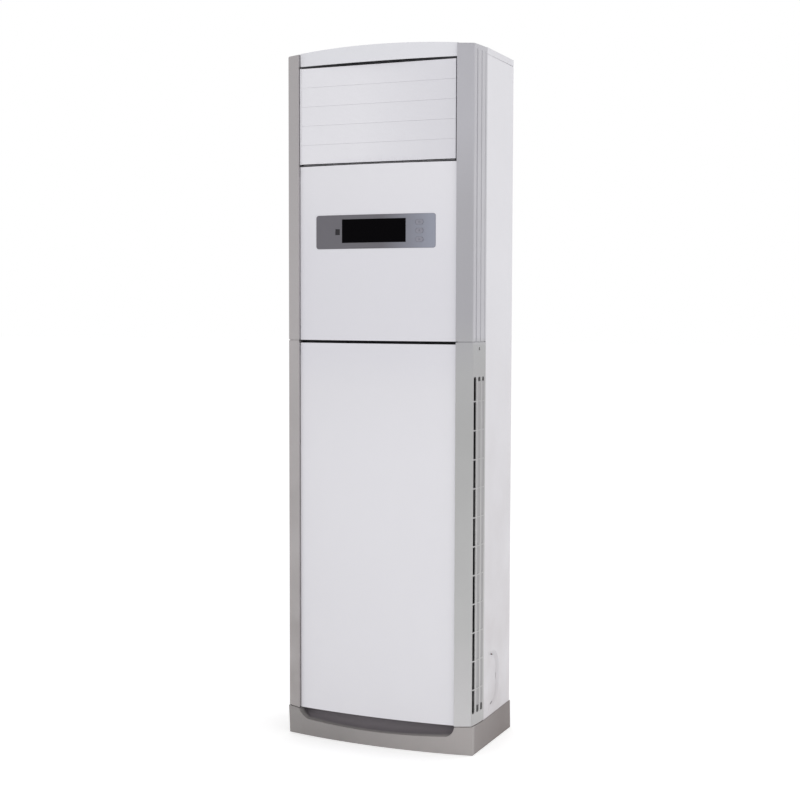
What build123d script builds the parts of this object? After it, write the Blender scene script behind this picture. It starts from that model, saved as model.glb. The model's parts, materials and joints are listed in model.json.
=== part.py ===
"""Floor standing air conditioner, cabinet indoor unit, in millimetres.

The front faces -Y, +X is to the right seen from the front and +Z is up. The
origin is on the floor, below the middle of the cabinet.
"""
from build123d import *
import os
from math import atan, cos, degrees, exp, log, radians, sin, sqrt

os.makedirs("parts", exist_ok=True)

# ------------------------------------------------------------------ cabinet
overall_depth = 308.8        # control plate to the back of the plinth
back_step = 5.5              # plinth back beyond the rear panel
seat_gap = 0.3               # between pieces that are screwed or clipped together
sheet = 1.0                  # side and rear sheet steel

# Front stack, from the floor up
plinth_height = 73.0
plinth_seam = 2.5            # dark line between the plinth and what stands on it
lower_panel_height = 946.5
panel_gap = 7.5              # black line between the two front panels
mid_panel_height = 438.0
outlet_height = 251.5
fascia_height = 31.0         # at its side edges
crown_rise = 10.0            # middle of the fascia's top edge above the trims
crown_end_share = 0.2        # part of that rise left at the fascia's ends
fascia_depth = 74.0
fascia_flat = 26.0           # its top is highest up to here, then slopes back
cover_height = 15.6          # top cover's skirt
cover_seam = 1.8             # line between the cover and the side panels

# Front panels, in plan
panel_half_width = 214.5
front_bow = 13.5             # middle of the front ahead of the panels' side edges
panel_wall = 2.5
panel_side_depth = 10.5      # side flange, from the panel's edge backwards
control_proud = 0.8          # control plate ahead of the panel it sits in

# Corner trims, in plan
trim_side_gap = 0.8          # panel edge to trim
trim_wall = 2.5
trim_proud = 8.0             # trim's inner edge ahead of the panels' edges
trim_bevel_width = 39.2
trim_bevel_depth = 18.0
trim_side_depth = 72.0
trim_bulge = 5.5             # trim's back edge further out than its front corner
trim_back_flange = 14.0
trim_corner_radius = 5.0
trim_top_radius = 4.0        # rounds the trims' top edges
trim_seam = 2.5              # line between the upper and the lower trim
lip_depth = 8.0              # lip of the lower trim inside the upper one
lip_wall = 1.5
side_taper = 5.2             # side panels' back edge in from their front edge
side_flange = 12.0

front_y = control_proud - overall_depth / 2
back_y = overall_depth / 2
cabinet_back_y = back_y - back_step
panel_edge_y = front_y + front_bow
bow_radius = (panel_half_width**2 + front_bow**2) / (2 * front_bow)
panel_back_y = panel_edge_y + panel_side_depth

trim_inner_x = panel_half_width + trim_side_gap
trim_edge_y = panel_edge_y - trim_proud
trim_corner_x = trim_inner_x + trim_bevel_width
trim_corner_y = trim_edge_y + trim_bevel_depth
trim_back_x = trim_corner_x + trim_bulge
trim_back_y = trim_corner_y + trim_side_depth
side_front_x = trim_back_x - seat_gap
side_front_y = trim_back_y + seat_gap
side_back_x = side_front_x - side_taper

lower_bottom_z = plinth_height + plinth_seam
lower_top_z = lower_bottom_z + lower_panel_height
mid_bottom_z = lower_top_z + panel_gap
mid_top_z = mid_bottom_z + mid_panel_height
outlet_top_z = mid_top_z + outlet_height
cabinet_top_z = outlet_top_z + fascia_height
cover_bottom_z = cabinet_top_z - cover_height
trim_seam_z = mid_bottom_z - trim_seam * 0.3

# ------------------------------------------------------------------- plinth
plinth_wall = 4.0
plinth_rim = 12.0            # width of the foot ring that meets the floor
plinth_deck = 3.0
plinth_foot_step = 2.0       # foot outside the trims' front corners
plinth_bow = 26.0
plinth_front_step = 3.5      # plinth's foot behind the front panels' middle
plinth_top_lip = 1.5         # plinth's top edge outside the trims
plinth_bottom_draft = 4.0    # plinth's back edge, top further in than the foot
rib_count = 3
recess_depth = 27.0          # finger recess, from the front inwards
recess_overrun = 1.7         # recess reaches past the panels' sides
recess_lip_z = 37.0          # lip of the recess in the middle
recess_lip_rise = 9.0        # lip higher at the ends of its sweep
recess_end_width = 24.0      # rounded end of the recess
recess_cove = 18.0           # curve at the foot of the recess's back

# -------------------------------------------------------------- side grille
slot_width = 13.0
slot_pitch_y = 23.0
slot_columns = 3
slot_top_drop = 85.75        # highest slot's top below the trims' seam
slot_end_height = 60.2       # end slots, to the middle of their cross bar
slot_rows = 12
slot_bar = 3.0               # cross bar between two slots
slot_end_radius = 5.5
slot_first_y = 10.2          # first column's middle behind the trim's front corner
grille_foot_rise = 31.6      # lowest slot's foot above the plinth
deep_rib_depth = 6.0
flute_depth = 0.4
trim_screw_drop = 17.0       # trim screw below the seam
trim_screw_y = 32.5          # trim screw behind the trim's front corner

# ------------------------------------------------------------ pipe knock-out
knockout_setback = 36.0      # its straight edge behind the trim
knockout_width = 83.0
knockout_height = 153.0
knockout_z = 162.5
knockout_corner = 55.0       # rounding of its two back corners
knockout_depth = 5.0         # plate pressed in from the panel
knockout_slope = 9.0         # width of its sloping rim
knockout_slot = 16.0         # pierced length of each of its slots
knockout_slot_width = 3.0

# ----------------------------------------------------------------- controls
control_offset_x = -3.0
control_rise = 271.5         # its middle above the middle panel's foot
control_width = 327.0
control_height = 84.0
control_radius = 7.0
control_wall = 3.0
window_width = 175.0
window_height = 59.0
window_offset_x = -1.0
window_z_offset = 2.0
receiver_width = 13.0
receiver_height = 15.0
receiver_inset = 62.5        # receiver's middle inside the control plate's left end
button_width = 20.0
button_height = 12.0
button_inset = 41.5          # buttons' middle inside the plate's right end
button_pitch = 21.3
button_count = 3
button_travel = 1.0
button_proud = 0.6
button_flange = 1.5
button_clearance = 0.3
board_wall = 1.6
board_gap = 5.0              # front of the board behind the plate
switch_height = 1.2
boss_radius = 4.0

# ----------------------------------------------------------- louvre outlet
louver_count = 5
louver_margin_top = 6.0
louver_margin_bottom = 6.8
louver_joint = 1.0
louver_wall = 4.0
louver_edge = 1.2            # chamfer along each blade's front edges
louver_step = 2.9            # blades' faces ahead of the panels' side edges
louver_axis_depth = 8.0      # pivot behind the blade's face
louver_end_gap = 5.0         # blade end to panel edge
louver_tab = 3.5
louver_pin_radius = 3.0
louver_boss_radius = 4.3
arm_length = 18.0
arm_wall = 2.6
arm_pin_radius = 2.0
link_wall = 2.5
link_half_width = 4.5
link_play = 0.3              # link to the arms beside it
running_play = 0.05          # pin in its bore
loose_play = 0.25            # link bore round an arm pin
crank_offset_y = 20.0        # crank axis behind the blades' axes
motor_radius = 14.0
motor_length = 18.0
frame_wall = 4.0
frame_plate = 3.0
frame_step = 3.5             # outlet frame behind the blades' faces

vane_count = 6
vane_side_gap = 46.0         # outer vanes to the outlet frame's walls
vane_setback = 55.0          # vanes' axes behind the blades' axes
vane_back_room = 50.0        # outlet frame behind the vanes' axes
vane_chord = 50.0
vane_wall = 2.0
vane_pin_radius = 2.5
vane_end_gap = 3.0
vane_link_height = 3.0
vane_arm_length = 18.0

# -------------------------------------------------------------- inner frame
post_width = 20.0
post_depth = 20.0
post_sheet = 1.5
post_setback = 39.6          # posts behind the panels
rail_height = 20.0
rail_setback = 8.6           # cross rail behind the panels
hook_share = 0.56            # panel hooks, part of the way out to the panel's edge
hook_width = 30.0
hinge_setback = 5.5          # hinge axis behind the panels' side edges
hinge_drop = 12.0            # hinge axis below the lower panel's top edge
hinge_pin_radius = 3.0
hinge_pin_length = 14.0
hinge_boss_radius = 6.0
bracket_sheet = 2.0
bracket_height = 17.0
base_pan_sheet = 1.2
base_pan_wall = 14.0
base_hole_radius = 6.0
base_hole_inset = 42.0       # holes inside the pan's sides
base_hole_spacing = 160.0

# ---------------------------------------------------------------------- fan
fan_floor_gap = 12.0         # scroll above the base pan
wheel_share = 0.7407         # wheel's radius, part of the housing's half width
wheel_depth = 100.0
wheel_blade_count = 36
wheel_blade_chord = 26.0
wheel_blade_wall = 1.2
wheel_disc = 2.0
hub_radius = 22.0
hub_length = 26.0
shaft_radius = 6.0
scroll_gap = 13.0            # wheel to the scroll at the tongue
scroll_growth_share = 0.367  # scroll's radius grows by this part of the wheel's
scroll_inset = 0.8           # scroll wall inside the housing's side edge
scroll_start_deg = 70.0
scroll_sheet = 1.5
scroll_side_gap = 6.8        # wheel to the scroll's flat walls
inlet_share = 0.842          # inlet's radius, part of the wheel's
inlet_lip = 30.0
inlet_wall = 2.0
motor_body_radius = 62.0
motor_body_length = 70.0
motor_plate_radius = 82.0
motor_bolt_count = 4
duct_rise = 110.0            # straight discharge duct above the scroll

# ------------------------------------------------------- coil and drain pan
coil_wall = 50.0
coil_inset = 19.3            # fins inside the trims
coil_back_gap = 9.0          # coil's top edge to the rear panel
coil_top_margin = 42.0       # below the outlet
coil_tube_pitch = 25.4
coil_tube_radius = 4.2
coil_columns = 2
coil_plate = 1.5
pan_wall = 2.5
pan_height = 34.0
spigot_length = 12.0         # drain pan's spigot below the divider
pan_to_coil = 16.0           # pan's floor to the coil
pan_depth = 70.0
pan_setback = 3.6            # drain pan behind the panels
drain_radius = 10.0
drain_bore = 8.0
drain_wall = 2.0             # sleeve outside the spigot
drain_inset = 14.3           # drain inside the trims
drain_plate_gap = 9.7        # hose ahead of the fan housing
drain_end_z = 22.0
drain_hole_gap = 2.6
drain_tip = 24.0             # bare spigot below the hose's sleeve
divider_sheet = 1.2

gas_radius = 7.94
liquid_radius = 4.76
pipe_inset = 14.5            # pipes inside the side panel's back edge
gas_back = 92.4              # gas pipe ahead of the plinth's back
liquid_back = 62.4
pipe_end_z = 205.0
flare_nut_length = 22.0

# ----------------------------------------------------------------- filters
filter_wall = 5.0
filter_border = 6.0
filter_mesh = 0.8
filter_margin = 8.0          # filter beyond the grille, above and below

# ------------------------------------------------------------ electrical box
box_sheet = 1.2
box_margin = 12.0
box_setback = 24.6           # box behind the panels
box_depth = 145.0
box_side_gap = 9.0           # box to the discharge duct
board_margin = 8.0           # board inside the box
standoff_height = 5.0
standoff_radius = 3.0
standoff_inset = 6.0
transformer_width = 60.0
transformer_depth = 48.0
transformer_height = 44.0
capacitor_radius = 18.0
capacitor_height = 52.0
relay_count = 4
relay_pitch = 26.0
relay_width = 18.0
relay_depth = 18.0
relay_height = 16.0
terminal_count = 6
terminal_pitch = 16.0
terminal_width = 14.0

screw_radius = 1.9
screw_hole_radius = 2.1
screw_head_radius = 3.8
screw_head_height = 2.2
screw_length = 9.0
rear_screw_rows = 5

wall_bracket_half_width = 45.0
wall_bracket_sheet = 1.5
wall_hole_radius = 3.25
wall_hole_spacing = 60.0


# --------------------------------------------- places set by the sizes above
plinth_half_width = trim_corner_x + plinth_foot_step
recess_half_width = trim_inner_x + recess_overrun
knockout_y = side_front_y + knockout_setback
grille_bottom_z = plinth_height + grille_foot_rise
slot_height = trim_seam_z - slot_top_drop - grille_bottom_z
slot_pitch_z = (slot_height - 2 * slot_end_height) / (slot_rows - 2)
control_z = mid_bottom_z + control_rise
louver_face_y = panel_edge_y - louver_step
post_front_y = panel_back_y + post_setback
rail_front_y = panel_back_y + rail_setback
pan_front_y = panel_back_y + pan_setback
drain_x = trim_inner_x - drain_inset
fan_half_depth = wheel_depth / 2 + scroll_side_gap
fan_plate_y = -fan_half_depth - scroll_sheet
drain_y = fan_plate_y - drain_plate_gap - drain_wall - drain_radius
pipe_x = side_back_x - pipe_inset
gas_y = back_y - gas_back
liquid_y = back_y - liquid_back
coil_half_width = trim_inner_x - coil_inset


# ================================================================== helpers
def bow_y(x, setback=0.0):
    """Y of the bowed front at x, setback behind the front surface."""
    radius = bow_radius - setback
    return front_y + bow_radius - sqrt(radius**2 - x**2)


def bowed_plan(half_width, setback, plan_back_y):
    """Plan between the bowed front, setback behind it, and a straight back."""
    with BuildSketch() as plan:
        with BuildLine():
            left = (-half_width, bow_y(half_width, setback))
            right = (half_width, bow_y(half_width, setback))
            ThreePointArc(left, (0, bow_y(0, setback)), right)
            Polyline(right, (half_width, plan_back_y), (-half_width, plan_back_y), left)
        make_face()
    return plan.sketch


def bowed_block(half_width, setback, plan_back_y, bottom_z, top_z):
    """Solid block behind the bowed front."""
    with BuildPart() as block:
        with BuildSketch(Plane.XY.offset(bottom_z)):
            add(bowed_plan(half_width, setback, plan_back_y))
        extrude(amount=top_z - bottom_z)
    return block.part


def trim_wall_plan(side):
    """Thin-walled plan of a corner trim; side is 1 on the right, -1 on the left."""
    with BuildSketch() as plan:
        with BuildLine():
            inner = Line((side * trim_inner_x, panel_edge_y), (side * trim_inner_x, trim_edge_y))
            bevel = Line(inner @ 1, (side * trim_corner_x, trim_corner_y))
            bulge_mid = (
                side * (trim_back_x - trim_bulge / 4),
                (trim_corner_y + trim_back_y) / 2,
            )
            flank = ThreePointArc(bevel @ 1, bulge_mid, (side * trim_back_x, trim_back_y))
            Line(flank @ 1, (side * (trim_back_x - trim_back_flange), trim_back_y))
            offset(amount=trim_wall, side=Side.LEFT if side > 0 else Side.RIGHT)
        make_face()
    return plan.sketch


def trim_cap_plan(side):
    """Closed plan of a corner trim's top cap."""
    with BuildSketch() as plan:
        with BuildLine():
            Polyline(
                (side * trim_inner_x, trim_back_y),
                (side * trim_inner_x, trim_edge_y),
                (side * trim_corner_x, trim_corner_y),
            )
            bulge_mid = (
                side * (trim_back_x - trim_bulge / 4),
                (trim_corner_y + trim_back_y) / 2,
            )
            ThreePointArc(
                (side * trim_corner_x, trim_corner_y),
                bulge_mid,
                (side * trim_back_x, trim_back_y),
            )
            Line((side * trim_back_x, trim_back_y), (side * trim_inner_x, trim_back_y))
        make_face()
    return plan.sketch


def cylinder_x(radius, x_from, x_to, y, z):
    """Round bar along X between two places."""
    with BuildPart() as bar:
        with BuildSketch(Plane.YZ.offset(min(x_from, x_to))):
            with Locations((y, z)):
                Circle(radius)
        extrude(amount=abs(x_to - x_from))
    return bar.part


def cylinder_y(radius, y_from, y_to, x, z):
    """Round bar along Y between two places."""
    with BuildPart() as bar:
        with BuildSketch(Plane.XZ.offset(-max(y_from, y_to))):
            with Locations((x, z)):
                Circle(radius)
        extrude(amount=abs(y_to - y_from))
    return bar.part


def cylinder_z(radius, z_from, z_to, x, y):
    """Round bar along Z between two places."""
    with BuildPart() as bar:
        with BuildSketch(Plane.XY.offset(min(z_from, z_to))):
            with Locations((x, y)):
                Circle(radius)
        extrude(amount=abs(z_to - z_from))
    return bar.part


def block_between(low, high):
    """Box between two corners."""
    size = [top - bottom for bottom, top in zip(low, high)]
    centre = [(top + bottom) / 2 for bottom, top in zip(low, high)]
    with BuildPart() as block:
        with Locations(tuple(centre)):
            Box(*size)
    return block.part


def rectangle_shell(low, high, wall, open_bottom=False, open_top=False):
    """Box-shaped sheet shell with the named ends left open."""
    inner_low = (low[0] + wall, low[1] + wall, low[2] - 1 if open_bottom else low[2] + wall)
    inner_high = (high[0] - wall, high[1] - wall, high[2] + 1 if open_top else high[2] - wall)
    with BuildPart() as shell:
        add(block_between(low, high))
        add(block_between(inner_low, inner_high), mode=Mode.SUBTRACT)
    return shell.part


post_inner_x = trim_inner_x
post_outer_x = post_inner_x + post_width
post_back_y = post_front_y + post_depth
hinge_axis_y = panel_edge_y + hinge_setback
hinge_z = lower_top_z - hinge_drop
lip_inset = trim_wall + seat_gap

# =================================================================== plinth
trim_front_x = trim_corner_x + plinth_top_lip
plinth_top_back_y = back_y - plinth_bottom_draft / 2
plinth_foot_y = front_y + plinth_front_step
plinth_foot_radius = (plinth_half_width**2 + plinth_bow**2) / (2 * plinth_bow)


def plinth_foot_arc_y(x):
    """Front edge of the plinth's foot at x."""
    return plinth_foot_y + plinth_foot_radius - sqrt(plinth_foot_radius**2 - x**2)


def plinth_foot_plan():
    """Outline of the plinth on the floor."""
    split_y = plinth_foot_arc_y(trim_inner_x)
    corner_y = plinth_foot_arc_y(plinth_half_width)
    with BuildSketch() as plan:
        with BuildLine():
            ThreePointArc((-trim_inner_x, split_y), (0, plinth_foot_y), (trim_inner_x, split_y))
            Line((trim_inner_x, split_y), (plinth_half_width, corner_y))
            Polyline(
                (plinth_half_width, corner_y),
                (plinth_half_width, trim_back_y),
                (plinth_half_width, back_y),
                (-plinth_half_width, back_y),
                (-plinth_half_width, trim_back_y),
                (-plinth_half_width, corner_y),
            )
            Line((-plinth_half_width, corner_y), (-trim_inner_x, split_y))
        make_face()
    return plan.sketch


def plinth_top_plan():
    """Outline of the plinth's top edge, just outside the trims and panels."""
    edge_y = trim_edge_y - plinth_top_lip
    flank_x = trim_back_x + plinth_top_lip
    rear_x = side_back_x + plinth_top_lip
    corner_y = trim_corner_y - plinth_top_lip / 2
    with BuildSketch() as plan:
        with BuildLine():
            ThreePointArc(
                (-trim_inner_x, edge_y), (0, front_y - plinth_top_lip / 3), (trim_inner_x, edge_y)
            )
            Line((trim_inner_x, edge_y), (trim_front_x, corner_y))
            Polyline(
                (trim_front_x, corner_y),
                (flank_x, trim_back_y),
                (rear_x, plinth_top_back_y),
                (-rear_x, plinth_top_back_y),
                (-flank_x, trim_back_y),
                (-trim_front_x, corner_y),
            )
            Line((-trim_front_x, corner_y), (-trim_inner_x, edge_y))
        make_face()
    return plan.sketch


# The finger recess: a front view with a sagging lip, as deep as recess_depth
with BuildPart() as recess_cutter:
    with BuildSketch(Plane.XZ.offset(-front_y / 2)):
        with BuildLine():
            sweep_half = recess_half_width - recess_end_width
            lip_end_z = recess_lip_z + recess_lip_rise
            lip = ThreePointArc((-sweep_half, lip_end_z), (0, recess_lip_z), (sweep_half, lip_end_z))
            right_end = ThreePointArc(
                lip @ 1,
                (sweep_half + recess_end_width * 0.62, lip_end_z + recess_end_width * 0.42),
                (recess_half_width, plinth_height + plinth_wall),
            )
            left_end = ThreePointArc(
                lip @ 0,
                (-sweep_half - recess_end_width * 0.62, lip_end_z + recess_end_width * 0.42),
                (-recess_half_width, plinth_height + plinth_wall),
            )
            Line(right_end @ 1, left_end @ 1)
        make_face()
    extrude(amount=overall_depth)
    with BuildSketch(Plane.XY.offset(-plinth_wall)):
        with BuildLine():
            back_left = (-overall_depth, bow_y(trim_inner_x, recess_depth))
            arc_left = (-trim_inner_x, bow_y(trim_inner_x, recess_depth))
            arc_right = (trim_inner_x, bow_y(trim_inner_x, recess_depth))
            back_right = (overall_depth, bow_y(trim_inner_x, recess_depth))
            ThreePointArc(arc_left, (0, front_y + recess_depth), arc_right)
            Polyline(
                arc_right, back_right, (overall_depth, -overall_depth),
                (-overall_depth, -overall_depth), back_left, arc_left,
            )
        make_face()
    extrude(amount=plinth_height + 4 * plinth_wall, mode=Mode.INTERSECT)
    cove_edges = recess_cutter.edges().filter_by(
        lambda edge: abs(edge.center().Y - front_y - recess_depth) < 2
        and abs(edge.center().Z - recess_lip_z) < 3
    )
    fillet(cove_edges, radius=recess_cove)

with BuildPart() as base_plinth:
    with BuildSketch():
        add(plinth_foot_plan())
    with BuildSketch(Plane.XY.offset(plinth_height)):
        add(plinth_top_plan())
    loft(ruled=True)
    # hollow underneath, behind the recess
    hollow_half = plinth_half_width - plinth_rim
    hollow_front_y = bow_y(trim_inner_x, recess_depth) + plinth_wall
    hollow_back_y = back_y - plinth_rim
    add(
        block_between(
            (-hollow_half, hollow_front_y, -plinth_wall),
            (hollow_half, hollow_back_y, plinth_height - plinth_deck),
        ),
        mode=Mode.SUBTRACT,
    )
    # ribs across the hollow, clear of the floor
    rib_pitch = 2 * hollow_half / (rib_count + 1)
    with Locations((0, (hollow_front_y + hollow_back_y) / 2, (plinth_height + plinth_wall) / 2)):
        with GridLocations(rib_pitch, 1, rib_count, 1):
            Box(plinth_wall, hollow_back_y - hollow_front_y, plinth_height - plinth_wall)
    add(recess_cutter.part, mode=Mode.SUBTRACT)
    add(
        cylinder_z(drain_radius + drain_wall + drain_hole_gap, plinth_height / 2,
                   plinth_height + plinth_wall, drain_x, drain_y),
        mode=Mode.SUBTRACT,
    )
    # lip that locates the trims and panels, set in from their outside
    with BuildSketch(Plane.XY.offset(plinth_height - plinth_deck)):
        add(trim_cap_plan(1))
        add(trim_cap_plan(-1))
        offset(amount=-lip_inset)
    extrude(amount=plinth_deck + 2 * plinth_seam)
    with BuildSketch(Plane.XY.offset(plinth_height)):
        add(trim_cap_plan(1))
        add(trim_cap_plan(-1))
        offset(amount=-lip_inset - plinth_wall)
    extrude(amount=3 * plinth_seam, mode=Mode.SUBTRACT)
base_plinth.part.label = "base_plinth"
export_step(base_plinth.part, "parts/base_plinth.step")

# ============================================================= rear, base pan
rear_panel_y = cabinet_back_y - sheet - seat_gap     # rear panel's outer face
pan_top_z = plinth_height + seat_gap + base_pan_sheet
base_pan_half = trim_inner_x - seat_gap
base_pan_front_y = rail_front_y

with BuildPart() as base_pan:
    add(
        rectangle_shell(
            (-base_pan_half, base_pan_front_y, plinth_height + seat_gap),
            (base_pan_half, rear_panel_y - sheet - seat_gap, pan_top_z + base_pan_wall),
            base_pan_sheet,
            open_top=True,
        )
    )
    with Locations((0, 0, plinth_height)):
        with GridLocations(2 * base_pan_half - 2 * base_hole_inset, base_hole_spacing, 2, 2):
            Cylinder(radius=base_hole_radius, height=4 * base_pan_wall, mode=Mode.SUBTRACT)
    add(
        cylinder_z(drain_radius + drain_wall + drain_hole_gap, plinth_height,
                   pan_top_z + base_pan_wall, drain_x, drain_y),
        mode=Mode.SUBTRACT,
    )
base_pan.part.label = "base_pan"
export_step(base_pan.part, "parts/base_pan.step")


# ============================================================== side panels
def side_panel_sheet(side):
    """Folded side sheet: a flat flank with a flange at the front and the back."""
    bottom_z = plinth_height + seat_gap
    top_z = cover_bottom_z - cover_seam
    with BuildPart() as panel:
        with BuildSketch(Plane.XY.offset(bottom_z)):
            with BuildLine():
                front_in = (side * (side_front_x - side_flange), side_front_y)
                front_out = (side * side_front_x, side_front_y)
                back_out = (side * side_back_x, cabinet_back_y)
                back_in = (side * (side_back_x - side_flange), cabinet_back_y)
                Polyline(front_in, front_out, back_out, back_in)
                offset(amount=sheet, side=Side.LEFT if side > 0 else Side.RIGHT)
            make_face()
        extrude(amount=top_z - bottom_z)
    return panel.part


def rear_screw_places():
    """Heights of the screws down each back flange."""
    span = cover_bottom_z - plinth_height
    return [
        plinth_height + span * (row + 0.5) / rear_screw_rows for row in range(rear_screw_rows)
    ]


rear_screw_x = side_back_x - side_flange / 2


def flank_plane(side, centre_y, centre_z):
    """Plane on a side panel's outer face, its X towards the back and its Y up."""
    share = (centre_y - side_front_y) / (cabinet_back_y - side_front_y)
    flank_x = side_front_x - side_taper * share
    run = Vector(-side * side_taper, cabinet_back_y - side_front_y, 0).normalized()
    outward = Vector(side * run.Y, -side * run.X, 0)
    return Plane(origin=(side * flank_x, centre_y, centre_z), x_dir=(run.X, run.Y, 0),
                 z_dir=(outward.X, outward.Y, 0))


def knockout_outline(side, depth, inset):
    """Outline of the pressed plate at a depth behind the side panel's outer face."""
    face = flank_plane(side, knockout_y, knockout_z)
    far = knockout_width - inset
    half = knockout_height / 2 - inset
    corner = knockout_corner - inset
    with BuildSketch(face.offset(-depth)) as outline:
        with BuildLine():
            foot = Line((inset, -half), (far - corner, -half))
            low_bend = TangentArc(foot @ 1, (far, corner - half), tangent=foot % 1)
            back_edge = Line(low_bend @ 1, (far, half - corner))
            high_bend = TangentArc(back_edge @ 1, (far - corner, half), tangent=back_edge % 1)
            Polyline(high_bend @ 1, (inset, half), foot @ 0)
        make_face()
    return outline.sketch


def press_knockout(side):
    """Press in and pierce the break-out plate for the pipes in the panel being built."""
    slope = knockout_slope / knockout_depth
    outer_rim = knockout_outline(side, sheet / 2, slope * sheet / 2 - sheet)
    loft([outer_rim, knockout_outline(side, knockout_depth + sheet, knockout_slope - sheet)],
         ruled=True)
    loft([knockout_outline(side, 0, 0), knockout_outline(side, knockout_depth, knockout_slope)],
         ruled=True, mode=Mode.SUBTRACT)
    face = flank_plane(side, knockout_y, knockout_z)
    line = knockout_slope + knockout_slot_width
    turn = knockout_corner - line
    with BuildSketch(face) as pierced:
        with Locations((knockout_width - line, 0)):
            SlotOverall(knockout_slot, knockout_slot_width, rotation=90)
        for end in (-1, 1):
            corner_x = knockout_width - line - turn
            corner_z = end * (knockout_height / 2 - line - turn)
            slot_x = corner_x + turn * sin(radians(15))
            slot_z = corner_z + end * turn * cos(radians(15))
            with Locations((slot_x, slot_z)):
                SlotOverall(knockout_slot, knockout_slot_width, rotation=-end * 15)
    extrude(pierced.sketch, amount=-knockout_depth - 2 * sheet, mode=Mode.SUBTRACT)


with BuildPart() as left_side_panel:
    add(side_panel_sheet(-1))
    for screw_z in rear_screw_places():
        add(
            cylinder_y(screw_hole_radius, cabinet_back_y - 2 * sheet, back_y, -rear_screw_x, screw_z),
            mode=Mode.SUBTRACT,
        )
    press_knockout(-1)
left_side_panel.part.label = "left_side_panel"
export_step(left_side_panel.part, "parts/left_side_panel.step")

with BuildPart() as right_side_panel:
    add(side_panel_sheet(1))
    for screw_z in rear_screw_places():
        add(
            cylinder_y(screw_hole_radius, cabinet_back_y - 2 * sheet, back_y, rear_screw_x, screw_z),
            mode=Mode.SUBTRACT,
        )
    press_knockout(1)
right_side_panel.part.label = "right_side_panel"
export_step(right_side_panel.part, "parts/right_side_panel.step")

# The rear sheet lies inside the side panels' back flanges
wall_bracket_z = cover_bottom_z - 36.0
bracket_screw_x = wall_bracket_half_width - 12.0
rear_bead = 0.9
rear_bead_width = 14.0
with BuildPart() as rear_panel:
    rear_half = side_back_x - 3 * sheet
    add(
        block_between(
            (-rear_half, rear_panel_y - sheet, plinth_height + seat_gap),
            (rear_half, rear_panel_y, cover_bottom_z - seat_gap),
        )
    )
    # pressed beads stand out between the flanges
    bead_half = side_back_x - side_flange - 3 * rear_bead_width
    for bead_z in rear_screw_places()[:-1]:
        low = (-bead_half, rear_panel_y, bead_z + 60)
        high = (bead_half, rear_panel_y + rear_bead, bead_z + 60 + rear_bead_width)
        add(block_between(low, high))
    for screw_z in rear_screw_places():
        for side in (-1, 1):
            add(
                cylinder_y(screw_hole_radius, rear_panel_y - 3, back_y, side * rear_screw_x, screw_z),
                mode=Mode.SUBTRACT,
            )
    for side in (-1, 1):
        add(
            cylinder_y(screw_hole_radius, rear_panel_y - 3, back_y, side * bracket_screw_x,
                       wall_bracket_z - 16),
            mode=Mode.SUBTRACT,
        )
rear_panel.part.label = "rear_panel"
export_step(rear_panel.part, "parts/rear_panel.step")

# ================================================================ top cover
with BuildPart() as top_cover:
    fascia_back_y = front_y + fascia_depth
    with BuildSketch(Plane.XY.offset(cover_bottom_z)):
        with BuildLine():
            Polyline(
                (side_front_x, side_front_y), (side_back_x, cabinet_back_y),
                (-side_back_x, cabinet_back_y), (-side_front_x, side_front_y), close=True,
            )
        make_face()
    extrude(amount=cover_height)
    with BuildSketch(Plane.XY.offset(cover_bottom_z)):
        with BuildLine():
            Polyline(
                (side_front_x - 2 * sheet, side_front_y - 1),
                (side_back_x - 2 * sheet, cabinet_back_y - 2 * sheet),
                (-side_back_x + 2 * sheet, cabinet_back_y - 2 * sheet),
                (-side_front_x + 2 * sheet, side_front_y - 1), close=True,
            )
        make_face()
    extrude(amount=cover_height - 2 * sheet, mode=Mode.SUBTRACT)
    # tongue between the trims, up to the fascia
    add(
        block_between(
            (-panel_half_width, fascia_back_y + seat_gap, cabinet_top_z - 2 * sheet),
            (panel_half_width, side_front_y + 1, cabinet_top_z),
        )
    )
    roof_edges = top_cover.edges().group_by(Axis.Z)[-1].sort_by(Axis.Y)[-1:]
    fillet(roof_edges, radius=1.5)
top_cover.part.label = "top_cover"
export_step(top_cover.part, "parts/top_cover.step")


# =================================================================== fascia
def fascia_block(inset):
    """Crowned strip over the outlet; inset draws all its faces inwards."""
    half = panel_half_width - inset
    slope_y = front_y + fascia_flat
    top_side_z = cabinet_top_z + crown_rise * crown_end_share - inset
    top_mid_z = cabinet_top_z + crown_rise - inset
    with BuildPart() as strip:
        with BuildSketch(Plane.XZ.offset(-fascia_back_y)):
            with BuildLine():
                crown = ThreePointArc((-half, top_side_z), (0, top_mid_z), (half, top_side_z))
                Polyline(crown @ 1, (half, outlet_top_z), (-half, outlet_top_z), crown @ 0)
            make_face()
        extrude(amount=overall_depth)
        with BuildSketch(Plane.XY.offset(outlet_top_z - 1)):
            add(bowed_plan(half, inset, fascia_back_y))
        extrude(amount=fascia_height + crown_rise + 4, mode=Mode.INTERSECT)
        with BuildSketch(Plane.YZ):
            with BuildLine():
                Polyline(
                    (front_y - 5, outlet_top_z - 2), (front_y - 5, top_mid_z + 5),
                    (slope_y, top_mid_z), (fascia_back_y, cabinet_top_z - inset),
                    (fascia_back_y, outlet_top_z - 2), close=True,
                )
            make_face()
        extrude(amount=overall_depth, both=True, mode=Mode.INTERSECT)
    return strip.part


with BuildPart() as top_fascia:
    add(fascia_block(0))
    inner_fascia = fascia_block(panel_wall)
    add(inner_fascia, mode=Mode.SUBTRACT)
    add(inner_fascia.moved(Location((0, panel_wall, 0))), mode=Mode.SUBTRACT)
top_fascia.part.label = "top_fascia"
export_step(top_fascia.part, "parts/top_fascia.step")


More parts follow.
